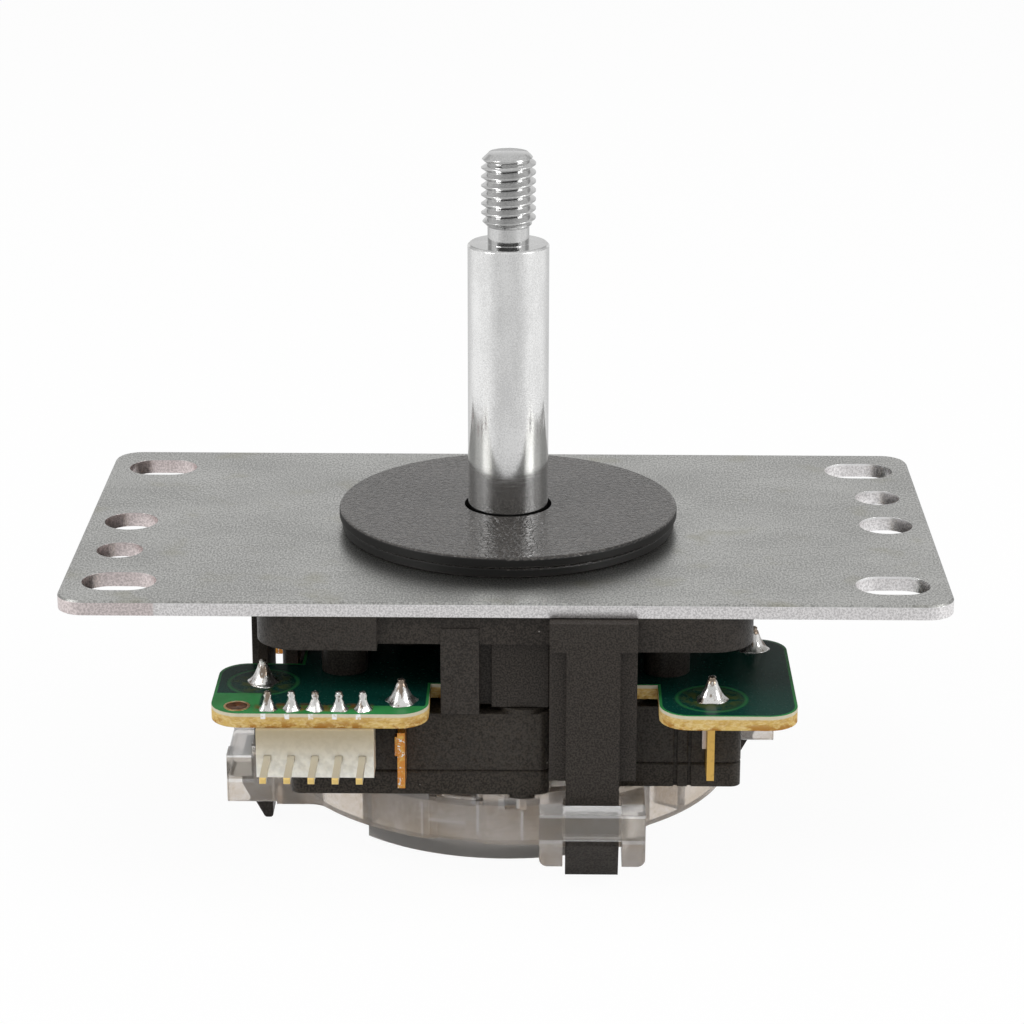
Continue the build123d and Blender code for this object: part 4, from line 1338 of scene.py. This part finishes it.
@dataclass
class Studio:
    """Pale floor, soft lamps and the camera of the picture, in millimetres and degrees."""

    eye: tuple[float, float, float] = (4.54, -335.42, 112.73)
    yaw: float = -0.70
    pitch: float = 18.37
    roll: float = -0.10
    focal_pixels: float = 3130.0
    picture: float = 1024.0
    sensor: float = 36.0
    clip: Span = (0.01, 50.0)
    floor_colour: Colour = (0.88, 0.88, 0.88)
    floor_level: float = -31.12
    floor_size: float = 8000.0
    floor_front: float = 0.66
    floor_side: float = 0.92
    floor_back: float = 0.62
    floor_share: float = 0.95
    world_level: float = 0.42
    mirror_front: float = 0.60
    mirror_second: float = 0.08
    mirror_side: float = 0.92
    mirror_quarter: float = 0.50
    mirror_back: float = 0.80
    mirror_high: float = 0.75

    @staticmethod
    def rays(sheet: Sheet) -> tuple[Node, Socket]:
        """Tells the rays apart.

        Args:
            sheet: sheet of the floor or the world.

        Returns:
            The node of the ray's kinds, and a mask of what the camera sees directly or through the gate.
        """
        path = sheet.add("ShaderNodeLightPath")
        return path, sheet.largest(path.outputs["Is Camera Ray"], path.outputs["Is Transmission Ray"])

    def camera(self) -> None:
        """Creates the camera and makes it the scene's."""
        data = bpy.data.cameras.new("camera")
        data.sensor_width = self.sensor
        data.lens = self.focal_pixels / self.picture * self.sensor
        data.clip_start, data.clip_end = self.clip
        camera = stand("camera", data)
        turn = Euler((math.radians(90 - self.pitch), 0.0, -math.radians(self.yaw))).to_matrix()
        rolled = turn @ Matrix.Rotation(-math.radians(self.roll), 3, "Z")
        camera.matrix_world = Matrix.Translation(mm(*self.eye)) @ rolled.to_4x4()
        bpy.context.scene.camera = camera

    def floor(self) -> None:
        """Builds the pale floor, nearly white to a camera above it and clear to one below it."""
        mesh = bmesh.new()
        bmesh.ops.create_grid(mesh, x_segments=1, y_segments=1, size=self.floor_size / 2 * MM,
                              matrix=Matrix.Translation(mm(0.0, 0.0, self.floor_level)))
        data = to_data("floor", mesh)
        skin = Skin("floor_paper")
        skin.give("Base Color", self.floor_colour)
        skin.give("Roughness", 0.95)
        skin.give("Specular IOR Level", 0.0)
        path, seen = self.rays(skin)
        toward = skin.toward_front(skin.place())
        level = skin.ramp(toward, 0.45, 0.97, self.floor_side, self.floor_front)
        level = skin.maths("MINIMUM", level, skin.ramp(toward, -0.3, -0.95, self.floor_side, self.floor_back))
        glow = skin.add("ShaderNodeEmission")
        skin.join(skin.largest(level, seen), glow.inputs["Strength"])
        share = skin.times(skin.largest(seen, path.outputs["Is Glossy Ray"]), self.floor_share)
        clear = skin.add("ShaderNodeBsdfTransparent")
        below = skin.add("ShaderNodeNewGeometry").outputs["Backfacing"]
        surface = skin.shader.outputs[0]
        for mask, other in ((share, glow), (below, clear)):
            blend = skin.add("ShaderNodeMixShader")
            for source, target in zip((mask, surface, other.outputs[0]), blend.inputs):
                skin.join(source, target)
            surface = blend.outputs[0]
        skin.join(surface, skin.tree.nodes["Material Output"].inputs["Surface"])
        data.materials.append(skin.material)
        floor = stand("floor", data)

    def world(self) -> None:
        """Lights the room evenly: white to the camera, with bright sides and a darker front for metal.

        The front is darkest in a reflection of a reflection, as at the foot of the polished lever.
        """
        world = bpy.data.worlds.new("room")
        world.use_nodes = True
        bpy.context.scene.world = world
        sheet = Sheet(world.node_tree)
        back = world.node_tree.nodes["Background"]
        sheet.feed(back.inputs["Color"], (1.0, 1.0, 1.0))
        path, seen = self.rays(sheet)
        direction = sheet.add("ShaderNodeTexCoord").outputs["Generated"]
        toward = sheet.toward_front(direction)
        ahead = sheet.ramp(toward, 0.3, 0.62)
        facing = sheet.ramp(path.outputs["Glossy Depth"], 1.2, 1.8, self.mirror_front, self.mirror_second)
        front = sheet.plus(sheet.times(ahead, sheet.minus(facing, self.mirror_side)), self.mirror_side)
        quarter = sheet.ramp(toward, -0.1, -0.45, self.mirror_side, self.mirror_quarter)
        wall = sheet.ramp(toward, -0.7, -0.9, 0.0, self.mirror_back)
        low = sheet.maths("MINIMUM", front, sheet.largest(quarter, wall))
        rise = sheet.ramp(sheet.split(direction)[2], 0.35, 0.75)
        level = sheet.plus(low, sheet.times(rise, sheet.minus(self.mirror_high, low)))
        gain = sheet.times(path.outputs["Is Glossy Ray"], sheet.minus(level, self.world_level))
        sheet.join(sheet.largest(sheet.plus(gain, self.world_level), seen), back.inputs["Strength"])

    def lamp(self, name: str, place: tuple[float, float, float], size: float, power: float,
             mirrored: bool = True) -> None:
        """Adds one soft square lamp that lights the middle of the part.

        Args:
            name: name of the lamp.
            place: where it stands.
            size: length of its side.
            power: its power in watts.
            mirrored: whether shiny surfaces show it.
        """
        data = bpy.data.lights.new(name, "AREA")
        data.size = size * MM
        data.energy = power
        lamp = stand(name, data)
        lamp.visible_glossy = mirrored
        lamp.matrix_world = (Matrix.Translation(mm(*place))
                             @ (-mm(*place)).to_track_quat("-Z", "Y").to_matrix().to_4x4())

    def build(self) -> None:
        """Builds the whole studio."""
        bpy.context.scene.view_settings.view_transform = "Standard"
        self.camera()
        self.floor()
        self.world()
        self.lamp("left_box", (-520, -280, 420), 300, 1.7)
        self.lamp("right_box", (540, -250, 380), 300, 1.6)
        self.lamp("top_box", (0, 120, 620), 420, 1.4, mirrored=False)


def main() -> None:
    """Builds every piece in order."""
    logging.basicConfig(level=logging.INFO, format="%(name)s: %(message)s")
    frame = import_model()
    for build in (build_grain, build_brush, build_specks, build_wear, build_creases):
        build()
    materials = {finish.name: finish.make() for finish in FINISHES}
    dress_nodes(frame["nodes"], frame["record"], materials)
    for builder in (LeverShaft(), SolderJoints(), TestPad()):
        builder.build(materials)
    Studio().build()


if __name__ == "__main__":
    main()
